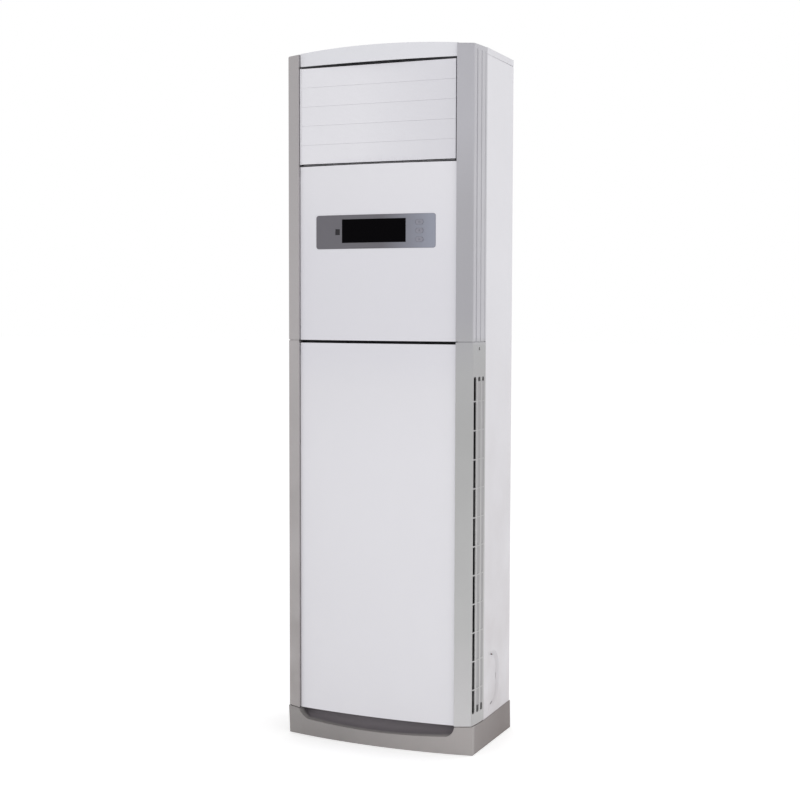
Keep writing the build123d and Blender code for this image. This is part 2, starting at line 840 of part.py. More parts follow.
# ==================================================================== trims
def trim_body(side, bottom_z, top_z, cap_thickness):
    """Thin-walled corner trim with a rounded front corner, closed by a cap where one is given."""
    wall_top_z = top_z - cap_thickness
    with BuildPart() as body:
        with BuildSketch(Plane.XY.offset(bottom_z)):
            add(trim_wall_plan(side))
        extrude(amount=wall_top_z - bottom_z)
        if cap_thickness > 0:
            with BuildSketch(Plane.XY.offset(wall_top_z)):
                add(trim_cap_plan(side))
            extrude(amount=cap_thickness)
        upright_edges = body.edges().filter_by(Axis.Z).filter_by(
            lambda edge: abs(abs(edge.center().X) - trim_corner_x) < trim_wall / 10
            and abs(edge.center().Y - trim_corner_y) < trim_wall / 10
        )
        fillet(upright_edges, radius=trim_corner_radius)
    return body.part


def flank_column_y(column):
    """Middle of a slot column on the trim's side."""
    return trim_corner_y + slot_first_y + slot_pitch_y * column


def upper_trim(side):
    """Upper corner trim with a closed top and shallow flutes down its side."""
    bottom_z = trim_seam_z + trim_seam / 2
    with BuildPart() as body:
        add(trim_body(side, bottom_z, cabinet_top_z, trim_wall))
        for column in range(slot_columns):
            flute_y = flank_column_y(column)
            span = (flute_y - trim_corner_y) / trim_side_depth
            flank_x = trim_corner_x + trim_bulge * (2 * span - span**2)
            low = (flank_x - flute_depth, flute_y - slot_width / 2, bottom_z - 1)
            high = (flank_x + slot_width, flute_y + slot_width / 2, cabinet_top_z - slot_width)
            if side < 0:
                low, high = (-high[0], low[1], low[2]), (-low[0], high[1], high[2])
            add(block_between(low, high), mode=Mode.SUBTRACT)
        crown_edges = body.edges().filter_by(
            lambda edge: edge.bounding_box().min.Z > cabinet_top_z - trim_wall / 10
            and abs(edge.center().X) > trim_inner_x + trim_bevel_width / 3
            and edge.center().Y < trim_back_y - trim_wall
        )
        fillet(crown_edges, radius=trim_top_radius)
    return body.part


def lower_trim(side):
    """Lower corner trim with the air intake slots in its side."""
    top_z = trim_seam_z - trim_seam / 2
    with BuildPart() as body:
        add(trim_body(side, lower_bottom_z, top_z, 0))
        # deep ribs stiffen the grille behind its second and third columns
        for column in (1, 2):
            rib_y = flank_column_y(column) + slot_pitch_y / 2
            span = (rib_y - trim_corner_y) / trim_side_depth
            rib_x = trim_corner_x + trim_bulge * (2 * span - span**2) - trim_wall
            rib_half = (slot_pitch_y - slot_width) / 2 - 1.0
            low = (rib_x - deep_rib_depth, rib_y - rib_half, grille_bottom_z)
            high = (rib_x + 1.0, rib_y + rib_half, grille_bottom_z + slot_height)
            if side < 0:
                low, high = (-high[0], low[1], low[2]), (-low[0], high[1], high[2])
            add(block_between(low, high))
        middle_z = grille_bottom_z + slot_height / 2
        middle_y = flank_column_y(1)
        with BuildSketch(Plane.YZ.offset(side * (trim_corner_x - trim_wall - 3))):
            with Locations((middle_y, middle_z)):
                with GridLocations(slot_pitch_y, 1, slot_columns, 1):
                    RectangleRounded(slot_width, slot_height, slot_end_radius)
                with GridLocations(1, slot_pitch_z, 1, slot_rows - 1):
                    Rectangle(slot_columns * slot_pitch_y, slot_bar, mode=Mode.SUBTRACT)
        extrude(amount=side * (trim_bulge + 3 * trim_wall + 3), mode=Mode.SUBTRACT)
        # boss and hole for the screw below the seam
        screw_y = trim_corner_y + trim_screw_y
        screw_z = trim_seam_z - trim_screw_drop
        add(cylinder_x(screw_head_radius + 1.5, side * (trim_corner_x - 8),
                       side * (trim_corner_x + 1.5), screw_y, screw_z))
        add(cylinder_x(screw_hole_radius, side * (trim_corner_x - 10),
                       side * (trim_corner_x + 8), screw_y, screw_z), mode=Mode.SUBTRACT)
        add(cylinder_x(screw_head_radius + 0.3, side * (trim_corner_x - 0.4),
                       side * (trim_corner_x + 8), screw_y, screw_z), mode=Mode.SUBTRACT)
        # notch that lets the hinge pin through to the panel
        add(cylinder_x(hinge_pin_radius + 1, side * (trim_inner_x - 1),
                       side * (trim_inner_x + trim_wall + 0.4), hinge_axis_y, hinge_z),
            mode=Mode.SUBTRACT)
        # lip that stands up inside the upper trim, clear of the cross rail
        with BuildSketch(Plane.XY.offset(top_z - lip_depth)):
            add(trim_cap_plan(side))
            offset(amount=-trim_wall + 0.2)
        extrude(amount=lip_depth)
        with BuildSketch(Plane.XY.offset(top_z)):
            add(trim_cap_plan(side))
            offset(amount=-lip_inset)
        extrude(amount=trim_seam + lip_depth * 0.75)
        with BuildSketch(Plane.XY.offset(top_z - lip_depth)):
            add(trim_cap_plan(side))
            offset(amount=-lip_inset - lip_wall)
        extrude(amount=3 * lip_depth, mode=Mode.SUBTRACT)
        near_x, far_x = sorted((side * (trim_inner_x - 1), side * (post_outer_x + 1)))
        add(block_between((near_x, rail_front_y - 1, top_z - lip_depth - 1),
                          (far_x, back_y, top_z + 3 * lip_depth)), mode=Mode.SUBTRACT)
    return body.part


with BuildPart() as left_trim_upper:
    add(upper_trim(-1))
left_trim_upper.part.label = "left_trim_upper"
export_step(left_trim_upper.part, "parts/left_trim_upper.step")

with BuildPart() as right_trim_upper:
    add(upper_trim(1))
right_trim_upper.part.label = "right_trim_upper"
export_step(right_trim_upper.part, "parts/right_trim_upper.step")

with BuildPart() as left_trim_lower:
    add(lower_trim(-1))
left_trim_lower.part.label = "left_trim_lower"
export_step(left_trim_lower.part, "parts/left_trim_lower.step")

with BuildPart() as right_trim_lower:
    add(lower_trim(1))
right_trim_lower.part.label = "right_trim_lower"
export_step(right_trim_lower.part, "parts/right_trim_lower.step")

# ============================================================== inner frame
def frame_post(side):
    """Upright channel, open towards the back, from the base pan to the roof."""
    low = (post_inner_x, post_front_y, plinth_height + 2 * plinth_seam + seat_gap)
    high = (post_outer_x, post_back_y, cabinet_top_z - trim_wall - seat_gap)
    cut_low = (low[0] + post_sheet, low[1] + post_sheet, low[2] - 1)
    cut_high = (high[0] - post_sheet, high[1] + 1, high[2] + 1)
    if side < 0:
        low, high = (-high[0], low[1], low[2]), (-low[0], high[1], high[2])
        cut_low, cut_high = (-cut_high[0], cut_low[1], cut_low[2]), (-cut_low[0], cut_high[1], cut_high[2])
    with BuildPart() as post:
        add(block_between(low, high))
        add(block_between(cut_low, cut_high), mode=Mode.SUBTRACT)
    return post.part


with BuildPart() as left_frame_post:
    add(frame_post(-1))
left_frame_post.part.label = "left_frame_post"
export_step(left_frame_post.part, "parts/left_frame_post.step")

with BuildPart() as right_frame_post:
    add(frame_post(1))
right_frame_post.part.label = "right_frame_post"
export_step(right_frame_post.part, "parts/right_frame_post.step")

rail_bottom_z = hinge_z + bracket_height / 2 + 0.5
rail_top_z = rail_bottom_z + rail_height
with BuildPart() as cross_rail:
    add(
        block_between(
            (-post_outer_x, rail_front_y, rail_bottom_z),
            (post_outer_x, post_front_y - seat_gap, rail_top_z),
        )
    )
    add(
        block_between(
            (-post_outer_x - 1, rail_front_y + post_sheet, rail_bottom_z + post_sheet),
            (post_outer_x + 1, post_front_y, rail_top_z - post_sheet),
        ),
        mode=Mode.SUBTRACT,
    )
cross_rail.part.label = "cross_rail"
export_step(cross_rail.part, "parts/cross_rail.step")

bracket_x = trim_inner_x + trim_wall + 0.5
with BuildPart() as hinge_brackets:
    for side in (-1, 1):
        near, far = sorted((side * bracket_x, side * (bracket_x + bracket_sheet)))
        add(
            block_between(
                (near, hinge_axis_y - 4.0, hinge_z - bracket_height / 2),
                (far, post_front_y - seat_gap, hinge_z + bracket_height / 2),
            )
        )
        add(
            cylinder_x(
                hinge_pin_radius, side * bracket_x, side * (bracket_x - hinge_pin_length),
                hinge_axis_y, hinge_z,
            )
        )
hinge_brackets.part.label = "hinge_brackets"
export_step(hinge_brackets.part, "parts/hinge_brackets.step")


# ============================================================= front panels
def panel_shell(bottom_z, top_z):
    """Bowed front panel folded back all round."""
    with BuildPart() as shell:
        add(bowed_block(panel_half_width, 0, panel_back_y, bottom_z, top_z))
        add(
            bowed_block(
                panel_half_width - panel_wall, panel_wall, panel_back_y + 1,
                bottom_z + panel_wall, top_z - panel_wall,
            ),
            mode=Mode.SUBTRACT,
        )
    return shell.part


with BuildPart() as lower_front_panel:
    add(panel_shell(lower_bottom_z, lower_top_z))
    # the bottom flange stops short in the middle, where fingers reach behind the skin
    finger_half = recess_half_width - 2 * recess_end_width
    add(
        bowed_block(finger_half, 2 * panel_wall, panel_back_y + 1, lower_bottom_z - 1,
                    lower_bottom_z + panel_wall + 1),
        mode=Mode.SUBTRACT,
    )
    for side in (-1, 1):
        boss_outer = side * (panel_half_width - panel_wall / 2)
        boss_inner = side * (bracket_x - hinge_pin_length + 1)
        add(cylinder_x(hinge_boss_radius, boss_outer, boss_inner, hinge_axis_y, hinge_z))
        add(
            block_between(
                (min(boss_outer, boss_inner), hinge_axis_y - 12, hinge_z - panel_wall / 2),
                (max(boss_outer, boss_inner), hinge_axis_y - 3, hinge_z + panel_wall / 2),
            )
        )
        add(
            cylinder_x(hinge_pin_radius + running_play, side * (panel_half_width + 1),
                       side * (panel_half_width - 25), hinge_axis_y, hinge_z),
            mode=Mode.SUBTRACT,
        )
    add(
        bowed_block(panel_half_width + 5, -30, panel_back_y + 1, lower_bottom_z - 1, lower_top_z + 1)
        - bowed_block(panel_half_width + 6, 0, panel_back_y + 2, lower_bottom_z - 2, lower_top_z + 2),
        mode=Mode.SUBTRACT,
    )
lower_front_panel.part.label = "lower_front_panel"
export_step(lower_front_panel.part, "parts/lower_front_panel.step")

# ----------------------------------------------------------- control plate
control_low_x = control_offset_x - control_width / 2
control_high_x = control_offset_x + control_width / 2
board_front_y = bow_y(control_low_x, control_wall + board_gap)


def bowed_plate(width, height, centre_x, centre_z, radius, proud, wall):
    """Plate that follows the bow, its outline rounded in front view."""
    with BuildPart() as plate:
        add(
            bowed_block(panel_half_width, -proud, 0, centre_z - height, centre_z + height)
            - bowed_block(panel_half_width + 1, wall - proud, 1, centre_z - 2 * height,
                          centre_z + 2 * height)
        )
        with BuildSketch(Plane.XZ.offset(-front_y + 20)):
            with Locations((centre_x, centre_z)):
                RectangleRounded(width, height, radius)
        extrude(amount=-80, mode=Mode.INTERSECT)
    return plate.part


window_x = control_offset_x + window_offset_x
window_z = control_z + window_z_offset
receiver_x = control_offset_x - control_width / 2 + receiver_inset
button_x = control_offset_x + control_width / 2 - button_inset
button_z = [control_z + button_pitch * (1 - index) for index in range(button_count)]
rim_overlap = 4.0

with BuildPart() as mid_front_panel:
    add(panel_shell(mid_bottom_z, mid_top_z))
    with BuildSketch(Plane.XZ.offset(-front_y + 20)):
        with Locations((control_offset_x, control_z)):
            RectangleRounded(control_width + 2 * seat_gap, control_height + 2 * seat_gap,
                             control_radius)
    extrude(amount=-45, mode=Mode.SUBTRACT)
    # ledge behind the opening that carries the control plate
    ledge = bowed_plate(control_width + 4 * rim_overlap, control_height + 4 * rim_overlap,
                        control_offset_x, control_z, control_radius, -panel_wall, panel_wall)
    ledge_window = bowed_plate(control_width - 4 * rim_overlap, control_height - 4 * rim_overlap,
                               control_offset_x, control_z, control_radius, 0, 3 * panel_wall)
    add(ledge - ledge_window)
    # tabs that hook on the cross rail
    for side in (-1, 1):
        hook_x = side * hook_share * panel_half_width
        add(
            block_between(
                (hook_x - hook_width / 2, panel_back_y - 1, mid_bottom_z),
                (hook_x + hook_width / 2, rail_front_y - seat_gap, mid_bottom_z + panel_wall),
            )
        )
    # bosses for the control board, standing on the ledge
    for side in (-1, 1):
        boss_x = control_offset_x + side * (control_width / 2 - rim_overlap)
        for level in (-1, 1):
            boss_z = control_z + level * (control_height / 2 - rim_overlap)
            add(
                cylinder_y(boss_radius, bow_y(boss_x, 2 * panel_wall) - 1,
                           board_front_y - seat_gap, boss_x, boss_z)
            )
mid_front_panel.part.label = "mid_front_panel"
export_step(mid_front_panel.part, "parts/mid_front_panel.step")

plate_wall = panel_wall + control_proud - seat_gap
with BuildPart() as control_fascia:
    add(bowed_plate(control_width, control_height, control_offset_x, control_z, control_radius,
                    control_proud, plate_wall))
    with BuildSketch(Plane.XZ.offset(-front_y + 20)):
        with Locations((window_x, window_z)):
            Rectangle(window_width, window_height)
        with Locations((receiver_x, control_z)):
            Rectangle(receiver_width, receiver_height)
        with Locations(*[(button_x, height) for height in button_z]):
            RectangleRounded(button_width + 2 * button_clearance,
                             button_height + 2 * button_clearance, button_height / 2.2)
    extrude(amount=-80, mode=Mode.SUBTRACT)
    front_edges = control_fascia.edges().filter_by(
        lambda edge: abs(edge.center().Y - bow_y(edge.center().X, -control_proud)) < 0.25
        and abs(edge.center().X - control_offset_x) > control_width / 2 - 1
    )
    chamfer(front_edges, length=0.5)
control_fascia.part.label = "control_fascia"
export_step(control_fascia.part, "parts/control_fascia.step")

with BuildPart() as display_window:
    add(bowed_plate(window_width - 2 * seat_gap, window_height - 2 * seat_gap, window_x, window_z,
                    0.8, control_proud - 0.2, plate_wall + 0.5))
display_window.part.label = "display_window"
export_step(display_window.part, "parts/display_window.step")

with BuildPart() as receiver_window:
    add(bowed_plate(receiver_width - 2 * seat_gap, receiver_height - 2 * seat_gap, receiver_x,
                    control_z, 1.5, control_proud - 0.2, plate_wall + 0.5))
receiver_window.part.label = "receiver_window"
export_step(receiver_window.part, "parts/receiver_window.step")


def control_button(centre_z):
    """Button cap with a wider flange behind the plate and a stem to the board."""
    plate_front = bow_y(button_x, -control_proud)
    flange_corner_x = abs(button_x) + button_width / 2 + 2
    flange_front = bow_y(flange_corner_x, plate_wall - control_proud) + button_clearance
    flange_rear = flange_front + button_flange
    with BuildPart() as cap:
        with BuildSketch(Plane.XZ.offset(-(plate_front - button_proud))):
            with Locations((button_x, centre_z)):
                RectangleRounded(button_width, button_height, button_height / 2.2)
        extrude(amount=-(flange_front + 0.1 - plate_front + button_proud))
        rim = cap.faces().sort_by(Axis.Y)[0].edges()
        fillet(rim, radius=0.5)
        with BuildSketch(Plane.XZ.offset(-flange_front)):
            with Locations((button_x, centre_z)):
                RectangleRounded(button_width + 4, button_height + 4, button_height / 2)
        extrude(amount=-button_flange)
        add(
            cylinder_y(2.5, flange_rear - 0.5, board_front_y - switch_height - button_travel - 0.1,
                       button_x, centre_z)
        )
    return cap.part


with BuildPart() as power_button:
    add(control_button(button_z[0]))
power_button.part.label = "power_button"
export_step(power_button.part, "parts/power_button.step")

with BuildPart() as mode_button:
    add(control_button(button_z[1]))
mode_button.part.label = "mode_button"
export_step(mode_button.part, "parts/mode_button.step")

with BuildPart() as fan_speed_button:
    add(control_button(button_z[2]))
fan_speed_button.part.label = "fan_speed_button"
export_step(fan_speed_button.part, "parts/fan_speed_button.step")

with BuildPart() as control_board:
    add(
        block_between(
            (control_low_x + rim_overlap - 4, board_front_y, control_z - control_height / 2),
            (control_high_x - rim_overlap + 4, board_front_y + board_wall,
             control_z + control_height / 2),
        )
    )
    for height in button_z:
        add(
            block_between(
                (button_x - 3, board_front_y - switch_height, height - 3),
                (button_x + 3, board_front_y + 0.5, height + 3),
            )
        )
    # display module behind the window, and the receiver
    module_front_y = bow_y(window_x + window_width / 2, plate_wall + 1.5)
    add(
        block_between(
            (window_x - window_width / 2 + 6, module_front_y, window_z - window_height / 2 + 5),
            (window_x + window_width / 2 - 6, board_front_y + 0.5, window_z + window_height / 2 - 5),
        )
    )
    add(
        block_between(
            (receiver_x - 4, module_front_y, control_z - 5),
            (receiver_x + 4, board_front_y + 0.5, control_z + 5),
        )
    )
control_board.part.label = "control_board"
export_step(control_board.part, "parts/control_board.step")

# ============================================================ louvre outlet
louver_bottom_z = mid_top_z + louver_margin_bottom
louver_top_z = outlet_top_z - louver_margin_top
louver_pitch = (louver_top_z - louver_bottom_z + louver_joint) / louver_count
louver_height = louver_pitch - louver_joint
louver_half = panel_half_width - louver_end_gap
louver_axis_y = louver_face_y + louver_axis_depth
frame_front_y = louver_face_y + frame_step
vane_axis_y = louver_axis_y + vane_setback
frame_back_y = vane_axis_y + vane_back_room
louver_z = [louver_top_z - louver_height / 2 - louver_pitch * index for index in range(louver_count)]
frame_outer_x = panel_half_width + 0.5
frame_inner_x = frame_outer_x - frame_wall
arm_x = frame_outer_x + 0.4
link_x = arm_x + arm_wall + link_play
pin_end_x = link_x + link_wall
crank_axis_y = louver_axis_y + crank_offset_y
crank_z = (louver_z[2] + louver_z[3]) / 2
crank_x = link_x + link_wall + link_play
motor_x = crank_x + arm_wall + 0.5

vane_pitch = 2 * (frame_inner_x - vane_side_gap) / (vane_count - 1)
vane_x = [vane_pitch * (index - (vane_count - 1) / 2) for index in range(vane_count)]
frame_bottom_z = mid_top_z + 0.5
frame_floor_z = frame_bottom_z + frame_plate
frame_roof_z = outlet_top_z - seat_gap - frame_plate
frame_top_z = outlet_top_z - seat_gap
vane_motor_top_z = frame_bottom_z - seat_gap

with BuildPart() as outlet_frame:
    add(
        block_between(
            (-frame_outer_x, frame_front_y, frame_bottom_z),
            (frame_outer_x, frame_back_y, frame_top_z),
        )
    )
    add(
        block_between(
            (-frame_inner_x, frame_front_y - 1, frame_floor_z),
            (frame_inner_x, frame_back_y + 1, frame_roof_z),
        ),
        mode=Mode.SUBTRACT,
    )
    for blade_z in louver_z:
        add(
            cylinder_x(louver_pin_radius + running_play, -frame_outer_x - 1, frame_outer_x + 1,
                       louver_axis_y, blade_z),
            mode=Mode.SUBTRACT,
        )
    for place_x in vane_x:
        add(
            cylinder_z(vane_pin_radius + running_play, frame_bottom_z - 1, frame_top_z + 1,
                       place_x, vane_axis_y),
            mode=Mode.SUBTRACT,
        )
outlet_frame.part.label = "outlet_frame"
export_step(outlet_frame.part, "parts/outlet_frame.step")


def louver_blade(blade_z):
    """Flat blade with pivot tabs, pins and the arm outside the frame's wall."""
    with BuildPart() as blade:
        add(
            block_between(
                (-louver_half, louver_face_y, blade_z - louver_height / 2),
                (louver_half, louver_face_y + louver_wall, blade_z + louver_height / 2),
            )
        )
        long_edges = blade.faces().sort_by(Axis.Y)[0].edges().filter_by(Axis.X)
        chamfer(long_edges, length=louver_edge)
        stiffener_depth = louver_axis_depth - louver_wall
        add(
            block_between(
                (-louver_half + louver_tab, louver_face_y + louver_wall - 0.1, blade_z - 1),
                (louver_half - louver_tab, louver_face_y + louver_wall + stiffener_depth, blade_z + 1),
            )
        )
        for side in (-1, 1):
            add(cylinder_x(louver_boss_radius, side * (louver_half - louver_tab), side * louver_half,
                           louver_axis_y, blade_z))
        add(
            cylinder_x(louver_pin_radius, -frame_outer_x + 0.5, -louver_half + 1, louver_axis_y, blade_z)
        )
        add(cylinder_x(louver_pin_radius, louver_half - 1, arm_x + arm_wall, louver_axis_y, blade_z))
        with BuildSketch(Plane.YZ.offset(arm_x)):
            with Locations((louver_axis_y + arm_length / 2, blade_z)):
                SlotCenterToCenter(arm_length, 2 * link_half_width)
        extrude(amount=arm_wall)
        add(cylinder_x(arm_pin_radius, arm_x + 0.5, pin_end_x, louver_axis_y + arm_length, blade_z))
    return blade.part


with BuildPart() as louver_blade_1:
    add(louver_blade(louver_z[0]))
louver_blade_1.part.label = "louver_blade_1"
export_step(louver_blade_1.part, "parts/louver_blade_1.step")

for number, blade_z in enumerate(louver_z[1:], start=2):
    with BuildPart() as follower_blade:
        add(louver_blade(blade_z))
    follower_blade.part.label = f"louver_blade_{number}"
    export_step(follower_blade.part, f"parts/louver_blade_{number}.step")

pin_y = louver_axis_y + arm_length
crank_pin_y = crank_axis_y + arm_length
with BuildPart() as louver_link:
    with BuildSketch(Plane.YZ.offset(link_x)):
        with Locations((pin_y, (louver_z[0] + louver_z[-1]) / 2)):
            SlotCenterToCenter(louver_z[0] - louver_z[-1], 2 * link_half_width, rotation=90)
        with Locations(((pin_y + crank_pin_y) / 2, crank_z)):
            SlotCenterToCenter(crank_pin_y - pin_y, 2 * link_half_width)
        with Locations(*[(pin_y, blade_z) for blade_z in louver_z], (crank_pin_y, crank_z)):
            Circle(arm_pin_radius + loose_play, mode=Mode.SUBTRACT)
    extrude(amount=link_wall)
louver_link.part.label = "louver_link"
export_step(louver_link.part, "parts/louver_link.step")

with BuildPart() as louver_crank:
    with BuildSketch(Plane.YZ.offset(crank_x)):
        with Locations((crank_axis_y + arm_length / 2, crank_z)):
            SlotCenterToCenter(arm_length, 2 * link_half_width)
    extrude(amount=arm_wall)
    add(cylinder_x(arm_pin_radius, link_x - 0.2, crank_x + 0.5, crank_pin_y, crank_z))
    add(cylinder_x(louver_pin_radius, crank_x + 0.5, motor_x + 6, crank_axis_y, crank_z))
louver_crank.part.label = "louver_crank"
export_step(louver_crank.part, "parts/louver_crank.step")

with BuildPart() as louver_motor:
    add(cylinder_x(motor_radius, motor_x, motor_x + motor_length, crank_axis_y, crank_z))
    add(
        block_between(
            (motor_x, crank_axis_y, crank_z - 6),
            (motor_x + 1.5, post_front_y - seat_gap, crank_z + 6),
        )
    )
    add(
        cylinder_x(louver_pin_radius + running_play, motor_x - 1, motor_x + 6.5, crank_axis_y, crank_z),
        mode=Mode.SUBTRACT,
    )
louver_motor.part.label = "louver_motor"
export_step(louver_motor.part, "parts/louver_motor.step")

# ------------------------------------------------------------ upright vanes
vane_bottom_z = frame_floor_z + vane_link_height + 3.0
vane_top_z = frame_roof_z - vane_end_gap


def air_vane(place_x, lower_pin_z):
    """Upright vane with a pivot rod and a pin for the link."""
    with BuildPart() as vane:
        add(
            block_between(
                (place_x - vane_wall / 2, vane_axis_y - vane_chord / 2, vane_bottom_z),
                (place_x + vane_wall / 2, vane_axis_y + vane_chord / 2, vane_top_z),
            )
        )
        rounded = vane.edges().filter_by(Axis.Z)
        fillet(rounded, radius=vane_wall * 0.3)
        add(cylinder_z(vane_pin_radius, lower_pin_z, frame_top_z - 0.2, place_x, vane_axis_y))
        add(
            cylinder_z(arm_pin_radius, frame_floor_z + 1.0, vane_bottom_z + 4, place_x,
                       vane_axis_y + vane_arm_length)
        )
    return vane.part


for number, place_x in enumerate(vane_x, start=1):
    # the first vane's lower pin is the motor's shaft
    pin_foot_z = vane_motor_top_z - 6 if number == 1 else frame_bottom_z + 0.2
    with BuildPart() as vane_part:
        add(air_vane(place_x, pin_foot_z))
    vane_part.part.label = f"air_vane_{number}"
    export_step(vane_part.part, f"parts/air_vane_{number}.step")

with BuildPart() as vane_link:
    with BuildSketch(Plane.XY.offset(frame_floor_z + 1.5)):
        with Locations(((vane_x[0] + vane_x[-1]) / 2, vane_axis_y + vane_arm_length)):
            SlotCenterToCenter(vane_x[-1] - vane_x[0], 2 * link_half_width - 1)
        with Locations(*[(place_x, vane_axis_y + vane_arm_length) for place_x in vane_x]):
            Circle(arm_pin_radius + loose_play, mode=Mode.SUBTRACT)
    extrude(amount=vane_link_height)
vane_link.part.label = "vane_link"
export_step(vane_link.part, "parts/vane_link.step")

with BuildPart() as vane_motor:
    add(cylinder_z(motor_radius, vane_motor_top_z - motor_length, vane_motor_top_z, vane_x[0],
                   vane_axis_y))
    add(
        block_between(
            (vane_x[0] - 2 * motor_radius - 4, vane_axis_y - 4, vane_motor_top_z - 1.5),
            (vane_x[0] + 2 * motor_radius + 4, vane_axis_y + 4, vane_motor_top_z),
        )
    )
    add(
        cylinder_z(vane_pin_radius + running_play, vane_motor_top_z - 6.5, vane_motor_top_z + 1,
                   vane_x[0], vane_axis_y),
        mode=Mode.SUBTRACT,
    )
vane_motor.part.label = "vane_motor"
export_step(vane_motor.part, "parts/vane_motor.step")

# ==================================================================== fan
housing_half = trim_inner_x - 2 * sheet
wheel_radius = wheel_share * housing_half
scroll_growth = scroll_growth_share * wheel_radius
inlet_radius = inlet_share * wheel_radius
tongue_radius = wheel_radius + scroll_gap
scroll_bottom_radius = tongue_radius * exp(
    log((tongue_radius + scroll_growth) / tongue_radius)
    * (270 - scroll_start_deg) / (360 - scroll_start_deg)
)
fan_z = pan_top_z + fan_floor_gap + scroll_bottom_radius + scroll_sheet
scroll_end_radius = tongue_radius + scroll_growth
housing_right_x = housing_half - scroll_inset
fan_x = housing_right_x - scroll_sheet - scroll_end_radius
scroll_roof_z = fan_z + tongue_radius + scroll_sheet + box_margin
housing_top_z = scroll_roof_z + duct_rise
tongue = (
    fan_x + tongue_radius * cos(radians(scroll_start_deg)),
    fan_z + tongue_radius * sin(radians(scroll_start_deg)),
)


def scroll_point(angle, extra=0.0):
    """Point of the scroll wall in front view; the radius grows steadily with the angle."""
    share = (angle - scroll_start_deg) / (360 - scroll_start_deg)
    radius = tongue_radius * exp(log(scroll_end_radius / tongue_radius) * share) + extra
    return (fan_x + radius * cos(radians(angle)), fan_z + radius * sin(radians(angle)))


scroll_angles = [scroll_start_deg + (360 - scroll_start_deg) * step / 8 for step in range(9)]


def scroll_region(extra):
    """Air space inside the scroll and its upright discharge duct, grown by extra."""
    with BuildSketch(Plane.XZ.offset(-fan_half_depth)) as region:
        with BuildLine():
            curve = Spline([scroll_point(angle, extra) for angle in scroll_angles])
            Polyline(
                curve @ 1,
                (scroll_point(360, extra)[0], housing_top_z),
                (tongue[0] - extra, housing_top_z),
                curve @ 0,
            )
        make_face()
    return region.sketch


plate_sheet_high_y = fan_half_depth + scroll_sheet


def housing_plate_plan():
    """Front view of the housing's flat walls, down to the base pan."""
    with BuildSketch(Plane.XZ.offset(-plate_sheet_high_y)) as plan:
        with BuildLine():
            Polyline(
                (-housing_half, pan_top_z + seat_gap), (housing_half, pan_top_z + seat_gap),
                (housing_half, housing_top_z), (tongue[0] - scroll_sheet, housing_top_z),
                (tongue[0] - scroll_sheet, scroll_roof_z - seat_gap),
                (-housing_half, scroll_roof_z - seat_gap), close=True,
            )
        make_face()
    return plan.sketch


with BuildPart() as fan_housing:
    extrude(housing_plate_plan(), amount=plate_sheet_high_y - fan_plate_y)
    # nothing outside the scroll wall between the flat walls
    add(
        block_between(
            (-housing_half - 1, -fan_half_depth, plinth_height - 5),
            (housing_half + 1, fan_half_depth, housing_top_z + 1),
        ),
        mode=Mode.SUBTRACT,
    )
    add(extrude(scroll_region(scroll_sheet), amount=2 * fan_half_depth, mode=Mode.PRIVATE))
    add(extrude(scroll_region(0), amount=2 * fan_half_depth, mode=Mode.PRIVATE), mode=Mode.SUBTRACT)
    add(
        cylinder_y(inlet_radius + inlet_wall + seat_gap, fan_plate_y - 1, -fan_half_depth + 1,
                   fan_x, fan_z),
        mode=Mode.SUBTRACT,
    )
    add(
        cylinder_y(motor_body_radius + 2, fan_half_depth - 1, plate_sheet_high_y + 1, fan_x, fan_z),
        mode=Mode.SUBTRACT,
    )
fan_housing.part.label = "fan_housing"
export_step(fan_housing.part, "parts/fan_housing.step")

bell_front_y = fan_plate_y - seat_gap
with BuildPart() as bell_mouth:
    with BuildSketch(Plane.YZ.offset(fan_x)):
        with BuildLine():
            throat = Line(
                (-wheel_depth / 2 - 2, fan_z + inlet_radius),
                (bell_front_y, fan_z + inlet_radius),
            )
            flare_y = bell_front_y - inlet_lip / 2
            flare = RadiusArc(throat @ 1, (flare_y, fan_z + inlet_radius + inlet_lip / 2), inlet_lip / 2)
            Line(flare @ 1, (flare_y, fan_z + inlet_radius + inlet_lip))
            offset(amount=inlet_wall, side=Side.RIGHT)
        make_face()
    revolve(axis=Axis((fan_x, 0, fan_z), (0, 1, 0)))
    for angle in (45, 135, 225, 315):
        ear_x = fan_x + (inlet_radius + inlet_lip - 8) * cos(radians(angle))
        ear_z = fan_z + (inlet_radius + inlet_lip - 8) * sin(radians(angle))
        add(cylinder_y(5, bell_front_y - inlet_lip / 2 + 0.5, bell_front_y, ear_x, ear_z))
bell_mouth.part.label = "bell_mouth"
export_step(bell_mouth.part, "parts/bell_mouth.step")

with BuildPart() as fan_wheel:
    back_y_wheel = wheel_depth / 2
    add(cylinder_y(wheel_radius, back_y_wheel - wheel_disc, back_y_wheel, fan_x, fan_z))
    add(
        cylinder_y(wheel_radius, -back_y_wheel, -back_y_wheel + wheel_disc, fan_x, fan_z)
        - cylinder_y(wheel_radius - wheel_blade_chord * 0.75, -back_y_wheel - 1,
                     -back_y_wheel + wheel_disc + 1, fan_x, fan_z)
    )
    with BuildSketch(Plane.XZ.offset(-back_y_wheel + wheel_disc / 2)):
        with Locations((fan_x, fan_z)):
            with PolarLocations(wheel_radius - wheel_blade_chord * 0.42, wheel_blade_count):
                Rectangle(wheel_blade_chord * 0.8, wheel_blade_wall, rotation=28)
    extrude(amount=wheel_depth - wheel_disc)
    add(cylinder_y(hub_radius, back_y_wheel - hub_length, back_y_wheel, fan_x, fan_z))
    add(cylinder_y(shaft_radius, back_y_wheel - hub_length - 6, plate_sheet_high_y + 24, fan_x, fan_z))
fan_wheel.part.label = "fan_wheel"
export_step(fan_wheel.part, "parts/fan_wheel.step")

